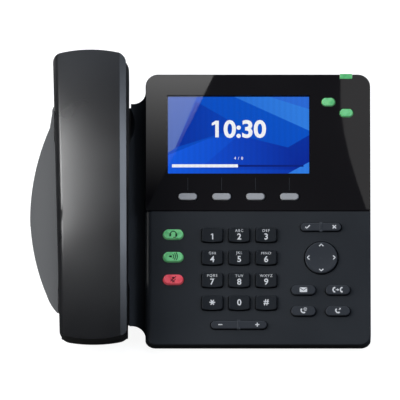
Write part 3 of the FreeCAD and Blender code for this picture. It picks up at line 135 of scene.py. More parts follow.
def noise(tree: bpy.types.NodeTree, size_mm: float, detail: float = 2.0,
          stretch: tuple[float, float, float] = (1.0, 1.0, 1.0)) -> bpy.types.NodeSocket:
    """A cloud pattern in the object's own coordinates.

    Args:
        tree: the node tree.
        size_mm: the real size of one blob.
        detail: how many finer layers it has.
        stretch: how much longer the blobs are along each axis.

    Returns:
        The pattern's value.
    """
    place = add(tree, "ShaderNodeTexCoord")
    scale = tuple(1.0 / s for s in stretch)
    turned = add(tree, "ShaderNodeMapping", {"Scale": scale}, {"Vector": place.outputs["Object"]})
    pattern = add(tree, "ShaderNodeTexNoise", {"Scale": 1.0 / (size_mm * MM), "Detail": detail},
                  {"Vector": turned.outputs["Vector"]})
    return pattern.outputs["Fac"]


def remap(tree: bpy.types.NodeTree, source: bpy.types.NodeSocket,
          low: float, high: float) -> bpy.types.NodeSocket:
    """Stretch a cloud pattern's usual values over a new span.

    Args:
        tree: the node tree.
        source: the value.
        low: the result where the pattern is at its usual lowest.
        high: the result where it is at its usual highest.

    Returns:
        The new value.
    """
    usual_low, usual_high = NOISE_SPAN
    node = add(tree, "ShaderNodeMapRange",
               {"From Min": usual_low, "From Max": usual_high, "To Min": low, "To Max": high}, {"Value": source})
    return node.outputs["Result"]


@dataclass(frozen=True)
class MouldedPlastic:
    """ABS moulded against a spark-eroded tool: a fine even grain that spreads every highlight.

    Attributes:
        name: the finish's name.
        dark: sRGB hex in the grain's hollows.
        light: sRGB hex on its peaks.
        roughness: the mean roughness.
        grain_mm: the grain's width.
        grain_depth: how strongly the grain tips the surface.
        sheen: strength of the soft specular.
        cloud_mm: size of the slow change in gloss over the part.
        spread: how far the roughness strays from its mean.
        grain_height: height of the grain's peaks.
    """
    name: str
    dark: str
    light: str
    roughness: float
    grain_mm: float = 0.45
    grain_depth: float = 0.10
    sheen: float = 0.5
    cloud_mm: float = 38.0
    spread: float = 0.03
    grain_height: float = 0.05 * MM

    def material(self) -> bpy.types.Material:
        """Build the node material.

        Returns:
            The finish's material.
        """
        material, tree = blank(self.name)
        grain = noise(tree, self.grain_mm, 3.0)
        cloud = noise(tree, self.cloud_mm, 1.0)
        mixed = add(tree, "ShaderNodeMath", {".operation": "ADD"}, {0: grain, 1: cloud})
        half = add(tree, "ShaderNodeMath", {".operation": "MULTIPLY", 1: 0.5}, {0: mixed.outputs[0]})
        colour = ramp(tree, half.outputs[0], self.dark, self.light)
        rough = remap(tree, cloud, self.roughness - self.spread, self.roughness + self.spread)
        bump = add(tree, "ShaderNodeBump", {"Strength": self.grain_depth, "Distance": self.grain_height},
                   {"Height": grain})
        skin = add(tree, "ShaderNodeBsdfPrincipled", {"IOR": 1.5, "Specular IOR Level": self.sheen},
                   {"Base Color": colour, "Roughness": rough, "Normal": bump.outputs["Normal"]})
        add(tree, "ShaderNodeOutputMaterial", links={"Surface": skin.outputs[0]})
        return material


@dataclass(frozen=True)
class PolishedPlastic:
    """Piano-black acrylic: near-black, mirror smooth, with only a trace of polishing haze.

    Attributes:
        name: the finish's name.
        colour: sRGB hex.
        haze: sRGB hex where the haze lies.
        roughness: the lowest roughness.
        haze_mm: size of one patch of haze.
        spread: how much rougher the haze is.
    """
    name: str
    colour: str
    haze: str
    roughness: float = 0.01
    haze_mm: float = 55.0
    spread: float = 0.02

    def material(self) -> bpy.types.Material:
        """Build the node material.

        Returns:
            The finish's material.
        """
        material, tree = blank(self.name)
        cloud = noise(tree, self.haze_mm, 4.0)
        colour = ramp(tree, cloud, self.colour, self.haze)
        rough = remap(tree, cloud, self.roughness, self.roughness + self.spread)
        skin = add(tree, "ShaderNodeBsdfPrincipled", {"IOR": 1.49},
                   {"Base Color": colour, "Roughness": rough})
        add(tree, "ShaderNodeOutputMaterial", links={"Surface": skin.outputs[0]})
        return material


@dataclass(frozen=True)
class LitPlastic:
    """Translucent silicone or acrylic with a lamp behind it: colour that glows, a little unevenly.

    Attributes:
        name: the finish's name.
        core: sRGB hex where the light is full.
        edge: sRGB hex where the light thins.
        glow: strength of the light from behind.
        roughness: of the moulded skin.
        cloud_mm: size of the brighter patches over the lamp.
        grain_mm: width of the skin's grain.
        grain_depth: how strongly the grain tips the surface.
        grain_height: height of its peaks.
        soak: share of the light that passes under the skin.
        soak_depth: how far it travels there.
    """
    name: str
    core: str
    edge: str
    glow: float
    roughness: float = 0.4
    cloud_mm: float = 3.5
    grain_mm: float = 0.4
    grain_depth: float = 0.08
    grain_height: float = 0.04 * MM
    soak: float = 0.25
    soak_depth: float = 1.5 * MM

    def material(self) -> bpy.types.Material:
        """Build the node material.

        Returns:
            The finish's material.
        """
        material, tree = blank(self.name)
        cloud = noise(tree, self.cloud_mm, 2.0)
        colour = ramp(tree, cloud, self.edge, self.core, 0.30, 0.55)
        grain = noise(tree, self.grain_mm, 2.0)
        bump = add(tree, "ShaderNodeBump", {"Strength": self.grain_depth, "Distance": self.grain_height},
                   {"Height": grain})
        skin = add(tree, "ShaderNodeBsdfPrincipled",
                   {"IOR": 1.45, "Roughness": self.roughness, "Subsurface Weight": self.soak,
                    "Subsurface Scale": self.soak_depth, "Emission Strength": self.glow},
                   {"Base Color": colour, "Emission Color": colour, "Normal": bump.outputs["Normal"]})
        add(tree, "ShaderNodeOutputMaterial", links={"Surface": skin.outputs[0]})
        return material


@dataclass(frozen=True)
class PrintedInk:
    """Screen-printed ink: an opaque, slightly uneven film with a dry surface.

    Attributes:
        name: the finish's name.
        colour: sRGB hex of the full film.
        thin: sRGB hex where the film is thin.
        mottle_mm: size of the thin spots.
        roughness: of the dry film.
    """
    name: str
    colour: str
    thin: str
    mottle_mm: float = 0.35
    roughness: float = 0.62

    def material(self) -> bpy.types.Material:
        """Build the node material.

        Returns:
            The finish's material.
        """
        material, tree = blank(self.name)
        film = noise(tree, self.mottle_mm, 3.0)
        colour = ramp(tree, film, self.thin, self.colour, 0.25, 0.5)
        skin = add(tree, "ShaderNodeBsdfPrincipled", {"IOR": 1.5, "Roughness": self.roughness},
                   {"Base Color": colour})
        add(tree, "ShaderNodeOutputMaterial", links={"Surface": skin.outputs[0]})
        return material


@dataclass(frozen=True)
class PlatedMetal:
    """Zinc plate on stamped steel: fine rolling lines along one way and a bright but broken shine.

    Attributes:
        name: the finish's name.
        colour: sRGB hex.
        shade: sRGB hex in the lines.
        roughness: the mean roughness.
        line_mm: width of one line.
        stretch: its length against its width.
        spread: how far the roughness strays from its mean.
        line_depth: how strongly the lines tip the surface.
        line_height: height between them.
    """
    name: str
    colour: str
    shade: str
    roughness: float = 0.32
    line_mm: float = 0.3
    stretch: float = 18.0
    spread: float = 0.08
    line_depth: float = 0.15
    line_height: float = 0.03 * MM

    def material(self) -> bpy.types.Material:
        """Build the node material.

        Returns:
            The finish's material.
        """
        material, tree = blank(self.name)
        lines = noise(tree, self.line_mm, 3.0, (self.stretch, 1.0, 1.0))
        colour = ramp(tree, lines, self.shade, self.colour)
        rough = remap(tree, lines, self.roughness - self.spread, self.roughness + self.spread)
        bump = add(tree, "ShaderNodeBump", {"Strength": self.line_depth, "Distance": self.line_height},
                   {"Height": lines})
        skin = add(tree, "ShaderNodeBsdfPrincipled", {"Metallic": 1.0},
                   {"Base Color": colour, "Roughness": rough, "Normal": bump.outputs["Normal"]})
        add(tree, "ShaderNodeOutputMaterial", links={"Surface": skin.outputs[0]})
        return material


@dataclass(frozen=True)
class ClearCover:
    """Clear acrylic window over the display: it passes the picture and mirrors the room faintly.

    Attributes:
        name: the finish's name.
        haze_mm: size of one patch of haze.
        haziest: the roughness where the haze is thickest.
    """
    name: str
    haze_mm: float = 60.0
    haziest: float = 0.02

    def material(self) -> bpy.types.Material:
        """Build the node material.

        Returns:
            The finish's material.
        """
        material, tree = blank(self.name)
        cloud = noise(tree, self.haze_mm, 2.0)
        rough = remap(tree, cloud, 0.0, self.haziest)
        skin = add(tree, "ShaderNodeBsdfPrincipled",
                   {"IOR": 1.49, "Transmission Weight": 1.0, "Base Color": (1.0, 1.0, 1.0, 1.0)},
                   {"Roughness": rough})
        add(tree, "ShaderNodeOutputMaterial", links={"Surface": skin.outputs[0]})
        return material


@dataclass(frozen=True)
class ScreenLight:
    """A lit patch of a liquid-crystal display: a colour that runs from one tone to another across it.

    Attributes:
        name: the finish's name.
        start: sRGB hex at the patch's first end.
        stop: sRGB hex at its other end.
        along: the direction of the blend on the face, in degrees from the user's right.
        strength: brightness of the backlight.
        row_mm: distance between two rows.
        dimmest: brightness between the rows, against a row's own.
        blend: where along the patch the first tone ends and the second is full.
    """
    name: str
    start: str
    stop: str
    along: float = 0.0
    strength: float = 1.0
    row_mm: float = 0.6
    dimmest: float = 0.94
    blend: tuple[float, float] = (0.1, 0.9)

    def material(self) -> bpy.types.Material:
        """Build the node material.

        Returns:
            The finish's material.
        """
        material, tree = blank(self.name)
        low, high = face.extent("lcd_module")
        centre = face.point((low.x + high.x) / 2, (low.y + high.y) / 2, high.z)
        turn = math.radians(self.along)
        direction = ACROSS * math.cos(turn) + face.up * math.sin(turn)
        reach = (high.x - low.x) / 2
        place = add(tree, "ShaderNodeTexCoord")
        moved = add(tree, "ShaderNodeVectorMath", {".operation": "SUBTRACT", 1: centre},
                    {0: place.outputs["Object"]})
        run = add(tree, "ShaderNodeVectorMath", {".operation": "DOT_PRODUCT", 1: direction},
                  {0: moved.outputs[0]})
        span = add(tree, "ShaderNodeMapRange", {"From Min": -reach, "From Max": reach},
                   {"Value": run.outputs["Value"]})
        # the real rows are 0.2 mm apart and are drawn coarser, because finer ones would not show
        bands_per_unit = 20
        rows = add(tree, "ShaderNodeTexWave",
                   {"Scale": 1.0 / (self.row_mm * MM) / bands_per_unit, "Distortion": 0.0, ".bands_direction": "X"},
                   {"Vector": place.outputs["Object"]})
        shimmer = add(tree, "ShaderNodeMapRange", {"To Min": self.dimmest, "To Max": 1.0},
                      {"Value": rows.outputs["Fac"]})
        colour = ramp(tree, span.outputs["Result"], self.start, self.stop, *self.blend)
        level = add(tree, "ShaderNodeMath", {".operation": "MULTIPLY", 1: self.strength},
                    {0: shimmer.outputs["Result"]})
        skin = add(tree, "ShaderNodeBsdfPrincipled",
                   {"Base Color": (0.0, 0.0, 0.0, 1.0), "Roughness": 0.3, "Specular IOR Level": 0.0},
                   {"Emission Color": colour, "Emission Strength": level.outputs[0]})
        add(tree, "ShaderNodeOutputMaterial", links={"Surface": skin.outputs[0]})
        return material


# ---------------------------------------------------------------- the phone's face as a drawing board

@dataclass(frozen=True)
class FacePlane:
    """The reclined face: x to the right, y up the face, z straight out, in metres from its lower edge.

    Attributes:
        out: the face's normal.
        up: the direction up the face.
        low_edge: distance of its lower edge along up.
        level: distance of its surface along out.
    """
    out: Vector
    up: Vector
    low_edge: float
    level: float

    @classmethod
    def from_frame(cls) -> "FacePlane":
        """Read the face's tilt and place from the frame.

        Returns:
            The face.
        """
        press = next(j for j in frame["joints"] if j["name"] == "dial_key_1_press")
        out = -Vector(press["axis"]).normalized()
        up = out.cross(ACROSS)
        low_edge = min(v.co.dot(up) for v in frame["nodes"]["upper_housing"].data.vertices)
        level = max(v.co.dot(out) for v in frame["nodes"]["display_bezel"].data.vertices)
        return cls(out, up, low_edge, level)

    def matrix(self, x: float = 0.0, y: float = 0.0, z: float = 0.0) -> Matrix:
        """The move that lays a piece, drawn flat about the world's origin, at a place on the face.

        Args:
            x: place across.
            y: place up the face.
            z: height over the face.

        Returns:
            The matrix.
        """
        facing = Matrix((ACROSS, self.up, self.out)).transposed().to_4x4()
        return Matrix.Translation(self.point(x, y, z)) @ facing

    def point(self, x: float, y: float, z: float = 0.0) -> Vector:
        """A place on the face as a place in the row frame."""
        return Vector((x, 0, 0)) + self.up * (self.low_edge + y) + self.out * (self.level + z)

    def extent(self, node: str) -> tuple[Vector, Vector]:
        """A CAD node's box in the face's own directions.

        Args:
            node: the node's name.

        Returns:
            Its lowest and its highest x, y and z.
        """
        spots = [v.co for v in frame["nodes"][node].data.vertices]
        across = [p.x for p in spots]
        along = [p.dot(self.up) - self.low_edge for p in spots]
        out = [p.dot(self.out) - self.level for p in spots]
        return (Vector((min(across), min(along), min(out))), Vector((max(across), max(along), max(out))))

    def centre(self, node: str) -> tuple[float, float, float]:
        """The middle of a node across and along the face, and its top."""
        low, high = self.extent(node)
        return ((low.x + high.x) / 2, (low.y + high.y) / 2, high.z)


face = FacePlane.from_frame()


# ---------------------------------------------------------------- modelling helpers

def deselect() -> None:
    """Leave nothing selected."""
    if bpy.context.object and bpy.context.object.mode != "OBJECT":
        bpy.ops.object.mode_set(mode="OBJECT")
    bpy.ops.object.select_all(action="DESELECT")


def current(name: str) -> bpy.types.Object:
    """Name the object that an operator has just made.

    Args:
        name: the object's and its data's name.

    Returns:
        The object.
    """
    piece = bpy.context.object
    piece.name = name
    piece.data.name = name
    return piece


def joined(pieces: Sequence[bpy.types.Object], name: str) -> bpy.types.Object:
    """Join several pieces into one.

    Args:
        pieces: the pieces, at least one.
        name: the new piece's name.

    Returns:
        The one piece.
    """
    deselect()
    for piece in pieces:
        piece.select_set(True)
    bpy.context.view_layer.objects.active = pieces[0]
    if len(pieces) > 1:
        bpy.ops.object.join()
    return current(name)


def settle(piece: bpy.types.Object, body: str, material: bpy.types.Material,
           place: Matrix | None = None) -> bpy.types.Object:
    """Lay a finished piece in its place, dress it and let it ride on its body.

    Args:
        piece: the mesh, drawn about the origin.
        body: the CAD body that carries it.
        material: its finish.
        place: the move that lays it, if it isn't in place already.

    Returns:
        The piece.
    """
    piece.data.transform(piece.matrix_world)
    piece.matrix_world = Matrix.Identity(4)
    if place is not None:
        piece.data.transform(place)
    piece.data.materials.clear()
    piece.data.materials.append(material)
    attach(piece, body)
    log.info("%s rides on %s, %d faces", piece.name, body, len(piece.data.polygons))
    return piece


def lettering(text: str, height: float, weight: float = 0.0, film: float = 0.04 * MM,
              spacing: float = 1.0) -> bpy.types.Object:
    """Flat characters centred on the origin.

    Args:
        text: the characters.
        height: height of a capital.
        weight: how much each stroke is fattened.
        film: thickness of the print.
        spacing: room between the characters against the font's own.

    Returns:
        A mesh object.
    """
    deselect()
    bpy.ops.object.text_add()
    piece = bpy.context.object
    piece.data.body = text
    piece.data.align_x = "CENTER"
    piece.data.resolution_u = 4
    piece.data.extrude = 1.0
    piece.data.offset = weight
    piece.data.space_character = spacing
    bpy.ops.object.convert(target="MESH")
    piece = bpy.context.object
    spots = [v.co for v in piece.data.vertices]
    low = Vector((min(p.x for p in spots), min(p.y for p in spots), 0))
    high = Vector((max(p.x for p in spots), max(p.y for p in spots), 0))
    capital = 0.7
    scale = height / capital
    middle = (low + high) / 2
    piece.data.transform(Matrix.Diagonal((scale, scale, film / 2, 1)) @ Matrix.Translation(-middle))
    return piece


def stroke(points: Iterable[Point], width: float, film: float = 0.05 * MM) -> bpy.types.Object:
    """A flat line of even width along points: one vertex is extruded and the line gets a round section.

    Args:
        points: places in millimetres.
        width: the line's width in millimetres.
        film: thickness of the print.

    Returns:
        A mesh object.
    """
    spots = [Vector((x * MM, y * MM, 0)) for x, y in points]
    deselect()
    bpy.ops.mesh.primitive_plane_add(size=MM, location=(0, 0, 0))
    bpy.ops.object.mode_set(mode="EDIT")
    bpy.ops.mesh.select_all(action="SELECT")
    bpy.ops.mesh.merge(type="CENTER")
    bpy.ops.transform.translate(value=spots[0])
    for before, after in zip(spots, spots[1:]):
        bpy.ops.mesh.extrude_region_move(TRANSFORM_OT_translate={"value": after - before})
    bpy.ops.object.mode_set(mode="OBJECT")
    bpy.ops.object.convert(target="CURVE")
    line = bpy.context.object
    line.data.dimensions = "3D"
    line.data.bevel_depth = width * MM / 2
    line.data.bevel_resolution = 1
    line.data.use_fill_caps = True
    bpy.ops.object.convert(target="MESH")
    piece = bpy.context.object
    piece.data.transform(Matrix.Diagonal((1, 1, film / (width * MM), 1)))
    return piece


def arc(centre: Point, radius: float, start: float, stop: float, steps: int = 10) -> list[Point]:
    """Points along an arc.

    Args:
        centre: its centre in millimetres.
        radius: its radius in millimetres.
        start: the first point's direction in degrees.
        stop: the last point's direction in degrees.
        steps: how many straight lines stand for it.

    Returns:
        The points in millimetres.
    """
    spots = []
    for index in range(steps + 1):
        angle = math.radians(start + (stop - start) * index / steps)
        spots.append((centre[0] + radius * math.cos(angle), centre[1] + radius * math.sin(angle)))
    return spots


def plate(points: Sequence[Point], film: float = 0.05 * MM) -> bpy.types.Object:
    """A flat polygon with a small thickness, cut out of a square by one bisection along each side.

    Args:
        points: a convex outline in millimetres, anticlockwise.
        film: its thickness.

    Returns:
        A mesh object.
    """
    reach = 3 * max(max(abs(x), abs(y)) for x, y in points) * MM
    deselect()
    bpy.ops.mesh.primitive_plane_add(size=2 * reach)
    bpy.ops.object.mode_set(mode="EDIT")
    for (x0, y0), (x1, y1) in zip(points, list(points[1:]) + [points[0]]):
        side = Vector((x1 - x0, y1 - y0, 0)).normalized()
        bpy.ops.mesh.select_all(action="SELECT")
        bpy.ops.mesh.bisect(plane_co=(x0 * MM, y0 * MM, 0), plane_no=(side.y, -side.x, 0), clear_outer=True)
    bpy.ops.mesh.select_all(action="SELECT")
    bpy.ops.mesh.extrude_region_move(TRANSFORM_OT_translate={"value": (0, 0, film)})
    bpy.ops.mesh.select_all(action="SELECT")
    bpy.ops.mesh.normals_make_consistent(inside=False)
    bpy.ops.object.mode_set(mode="OBJECT")
    return bpy.context.object


def bar(centre: Point, size: Point, film: float = 0.05 * MM) -> bpy.types.Object:
    """A flat rectangle.

    Args:
        centre: its middle in millimetres.
        size: its width and height in millimetres.
        film: its thickness.

    Returns:
        A mesh object.
    """
    x, y = size[0] / 2, size[1] / 2
    cx, cy = centre
    return plate([(cx - x, cy - y), (cx + x, cy - y), (cx + x, cy + y), (cx - x, cy + y)], film)


# ---------------------------------------------------------------- symbols on the keys

class Symbol(Enum):
    """The symbols that the keys carry."""
    HEADSET = "headset"
    SPEAKER = "speaker"
    MUTE = "mute"
    ENVELOPE = "envelope"
    FLAP = "flap"
    TRANSFER = "transfer"
    CALL_LOG = "call_log"
    REDIAL = "redial"
    STAR = "star"
    TICK = "tick"
    CROSS = "cross"
    MINUS = "minus"
    PLUS = "plus"
    CHEVRON = "chevron"


def turned(points: Iterable[Point], middle: Point, lean: float) -> list[Point]:
    """Points turned by some degrees and moved to a new middle."""
    c, s = math.cos(math.radians(lean)), math.sin(math.radians(lean))
    return [(middle[0] + x * c - y * s, middle[1] + x * s + y * c) for x, y in points]


def receiver_shape(middle: Point, lean: float = 0.0) -> list[bpy.types.Object]:
    """A small telephone receiver: a bow with a pad at each end.

    Args:
        middle: its place in millimetres.
        lean: turn in degrees.

    Returns:
        Its pieces.
    """
    bow = turned(arc((1.35, 0), 1.9, 120, 240, 8), middle, lean)
    upper = turned([(0.2, 1.55), (0.85, 1.2)], middle, lean)
    lower = turned([(0.2, -1.55), (0.85, -1.2)], middle, lean)
    return [stroke(bow, 0.85), stroke(upper, 1.15), stroke(lower, 1.15)]


def figure_one(height: float) -> list[bpy.types.Object]:
    """The digit 1: an upright stem with a short flag.

    Args:
        height: its height in millimetres.

    Returns:
        Its pieces.
    """
    half, width = height / 2, height * 0.2
    stem = bar((0.06 * height, 0), (width, height))
    flag = plate([(-0.24 * height, half * 0.42), (0.0, half * 0.62), (0.1 * height, half),
                  (-0.02 * height, half), (-0.24 * height, half * 0.72)])
    return [stem, flag]


def symbol_pieces(kind: Symbol) -> list[bpy.types.Object]:
    """Draw one symbol about the origin, in millimetres.

    Args:
        kind: which symbol.

    Returns:
        Its flat pieces.
    """
    if kind is Symbol.HEADSET:
        return [stroke(arc((0, -0.2), 2.0, 8, 172), 0.6), bar((-2.0, -0.7), (1.25, 2.0)),
                bar((2.0, -0.7), (1.25, 2.0)), stroke([(2.0, -1.5), (1.5, -2.35), (0.0, -2.4)], 0.6)]
    if kind is Symbol.SPEAKER:
        return [plate([(-3.0, -0.6), (-2.3, -0.6), (-0.9, -1.8), (-0.9, 1.8), (-2.3, 0.6), (-3.0, 0.6)]),
                stroke(arc((-1.6, 0), 1.9, -50, 50), 0.55), stroke(arc((-1.6, 0), 3.1, -45, 45), 0.55),
                stroke(arc((-1.6, 0), 4.3, -38, 38), 0.55)]
    if kind is Symbol.MUTE:
        return [stroke([(0, 0.35), (0, 1.55)], 1.5), stroke(arc((0, 0.35), 1.5, 190, 350), 0.55),
                stroke([(0, -1.1), (0, -1.9)], 0.6), stroke([(-1.0, -2.0), (1.0, -2.0)], 0.55),
                stroke([(-1.9, -1.6), (1.9, 1.9)], 0.5)]
    if kind is Symbol.ENVELOPE:
        return [bar((0, 0), (5.0, 3.3))]
    if kind is Symbol.FLAP:
        return [stroke([(-2.4, 1.3), (0, -0.4), (2.4, 1.3)], 0.58)]
    if kind is Symbol.TRANSFER:
        return (receiver_shape((-2.6, 0)) + receiver_shape((2.3, 0)) +
                [stroke([(-1.3, 0), (0.6, 0)], 0.55), plate([(-0.2, -0.95), (1.0, 0), (-0.2, 0.95)])])
    if kind is Symbol.CALL_LOG:
        return (receiver_shape((-0.7, -0.4), 42) +
                [stroke(arc((1.25, 1.1), 0.95, 0, 345, 12), 0.36), bar((1.25, 1.1), (0.5, 0.5))])
    if kind is Symbol.REDIAL:
        return receiver_shape((-0.5, -0.4), 42) + [stroke([(0.7, 0.6), (1.5, 1.4)], 0.45),
                                                   plate([(0.75, 1.9), (1.95, 0.75), (1.95, 1.9)])]
    if kind is Symbol.STAR:
        return [stroke(turned([(-1.95, 0), (1.95, 0)], (0, 0), lean), 0.8) for lean in (0, 60, 120)]
    if kind is Symbol.TICK:
        return [stroke([(-1.4, 0.0), (-0.5, -1.0), (1.5, 1.15)], 0.8)]
    if kind is Symbol.CROSS:
        return [stroke([(-1.1, -1.1), (1.1, 1.1)], 0.75), stroke([(-1.1, 1.1), (1.1, -1.1)], 0.75)]
    if kind is Symbol.MINUS:
        return [bar((0, 0), (2.8, 0.65))]
    if kind is Symbol.PLUS:
        return [bar((0, 0), (2.8, 0.65)), bar((0, 0), (0.65, 2.8))]
    return [stroke([(-1.35, -0.65), (0, 0.7), (1.35, -0.65)], 0.78)]


# ---------------------------------------------------------------- sub-assemblies

@dataclass
class Dresser:
    """Gives every CAD node its finish.

    Attributes:
        finishes: the material of each record slot.
        satin_keys: the flat-topped black keys, which are moulded a shade lighter than the dial keys.
    """
    finishes: dict[str, bpy.types.Material] = field(default_factory=dict)
    satin_keys: tuple[str, ...] = ("nav_pad", "message_key", "transfer_key", "call_log_key", "redial_key",
                                   "ok_cancel_rocker", "volume_rocker")

    def build(self) -> None:
        """Make the materials and put them on the nodes."""
        shades = [
            # the casing: even fine grain, a soft wide highlight
            ("housing_plastic", MouldedPlastic("black_abs_housing", "282b2f", "2e3135", 0.36)),
            # a tighter grain than the casing's, so that the long reflection keeps a shape
            ("handset_plastic", MouldedPlastic("black_abs_handset", "151517", "1b1c1e", 0.30)),
            # silicone with a fine skin: darker than the casing, soft at its edges
            ("key_plastic", MouldedPlastic("black_silicone_key", "212428", "282b2f", 0.30, 0.3, 0.06)),
            # a mirror with a trace of haze round the display
            ("bezel_gloss", PolishedPlastic("piano_black_acrylic", "151315", "181618")),
            # the window: a faint mirror over the picture
            ("lens_clear", ClearCover("clear_acrylic")),
            # switched-off glass where no picture lies
            ("lcd_glass", PolishedPlastic("display_glass", "050506", "070708")),
            # plated screws, pins and brackets: bright, in broken lines
            ("steel", PlatedMetal("zinc_plated_steel", "b9bcbf", "8c9093")),
            # painted pressed metal, duller than the casing
            ("speaker_body", MouldedPlastic("black_pressed_metal", "191a1b", "222325", 0.35)),
            # the lamp window, a soft even green
            ("lamp_green", LitPlastic("green_light_pipe", "6cc681", "54ac6a", 0.20)),
            # the key mat: mid grey, matt and rubbery
            ("silicone", MouldedPlastic("grey_silicone_mat", "6a6c6e", "75777a", 0.6)),
            # varnish over copper: a green with a slow change of tone
            ("circuit_board", MouldedPlastic("green_solder_mask", "0d3a1c", "124a25", 0.35, 1.2)),
            # nylon sockets, nearly black and half matt
            ("jack_plastic", MouldedPlastic("black_nylon_socket", "121213", "19191b", 0.5)),
            # feet: a dull black that gives no highlight
            ("rubber", MouldedPlastic("black_rubber_foot", "161617", "202021", 0.75, 0.6)),
            # lit green silicone, a little uneven, as one lamp lights each key
            ("key_green", LitPlastic("green_lit_key", "7ccf8e", "60ba78", 0.20)),
            # lit red silicone
            ("key_red", LitPlastic("red_lit_key", "f0626e", "e04a5a", 0.22)),
            # pale moulded keys with a satin skin
            ("key_grey", MouldedPlastic("grey_abs_key", "a6a7a9", "b0b1b3", 0.42, 0.3, 0.06)),
        ]
        for slot, finish in shades:
            self.finishes[slot] = finish.material()
        satin = MouldedPlastic("satin_silicone_key", "35383d", "3c3f44", 0.34, 0.3, 0.06).material()
        for part in frame["record"]["subparts"]:
            node = frame["nodes"][part["node"]]
            node.data.materials.clear()
            is_satin = part["node"] in self.satin_keys
            node.data.materials.append(satin if is_satin else self.finishes[part["material_slot"]])
            log.info("%s is finished in %s", part["node"], part["material_slot"])


@dataclass
class DialLegends:
    """Digits and letters on the twelve dial keys, laid down into each key's hollow.

    Attributes:
        digit_height: height of a digit in millimetres.
        letter_height: height of a letter in millimetres.
        digit_drop: how far a digit sits below the key's middle when it has letters over it.
        letter_rise: how far the letters sit above the middle.
        hollow_radius: radius of the gutter that hollows each key.
        hollow_depth: its depth at the key's middle.
        film: height of the print over the key.
        print_depth: thickness of the print.
        digit_weight: how much a digit's strokes are fattened.
        letter_spacing: room between letters against the font's own.
    """
    digit_height: float = 4.1
    letter_height: float = 1.8
    digit_drop: float = -1.35
    letter_rise: float = 2.75
    hollow_radius: float = 48.0 * MM
    hollow_depth: float = 0.35 * MM
    film: float = 0.02 * MM
    print_depth: float = 0.03 * MM
    digit_weight: float = 0.018
    letter_spacing: float = 1.2

    def word(self, text: str, height: float, rise: float, weight: float, spacing: float) -> bpy.types.Object:
        """Characters at a height on the key, drawn about the key's middle.

        Args:
            text: the characters.
            height: their height in millimetres.
            rise: how far they sit above the key's middle, in millimetres.
            weight: how much each stroke is fattened.
            spacing: room between them against the font's own.

        Returns:
            A mesh object.
        """
        piece = lettering(text, height * MM, weight, self.print_depth, spacing)
        piece.data.transform(Matrix.Translation((0, rise * MM, 0)))
        return piece

    def digit(self, key: str) -> bpy.types.Object:
        """The main character of one key.

        Args:
            key: the digit, "star" or "hash".

        Returns:
            A mesh object.
        """
        if key == "star":
            return joined(symbol_pieces(Symbol.STAR), "star")
        rise = 0.0 if key in ("0", "hash") else self.digit_drop
        if key == "1":
            piece = joined(figure_one(self.digit_height), "one")
            piece.data.transform(Matrix.Translation((0, rise * MM, 0)))
            return piece
        return self.word("#" if key == "hash" else key, self.digit_height, rise, self.digit_weight, 1.0)

    def sink(self, piece: bpy.types.Object) -> None:
        """Bend a flat print down into the gutter."""
        for vertex in piece.data.vertices:
            vertex.co.z += vertex.co.x ** 2 / (2 * self.hollow_radius) - self.hollow_depth

    def build(self, ink: bpy.types.Material) -> None:
        """Print every dial key.

        Args:
            ink: the finish of the print.
        """
        rows = {"1": "", "2": "ABC", "3": "DEF", "4": "GHI", "5": "JKL", "6": "MNO",
                "7": "PQRS", "8": "TUV", "9": "WXYZ", "star": "", "0": "", "hash": ""}
        for key, letters in rows.items():
            body = "dial_key_" + key
            x, y, z = face.centre(body)
            pieces = [self.digit(key)]
            if letters:
                pieces.append(self.word(letters, self.letter_height, self.letter_rise, 0.0, self.letter_spacing))
            print_piece = joined(pieces, "legend_" + body)
            self.sink(print_piece)
            settle(print_piece, body, ink, face.matrix(x, y, z + self.film))


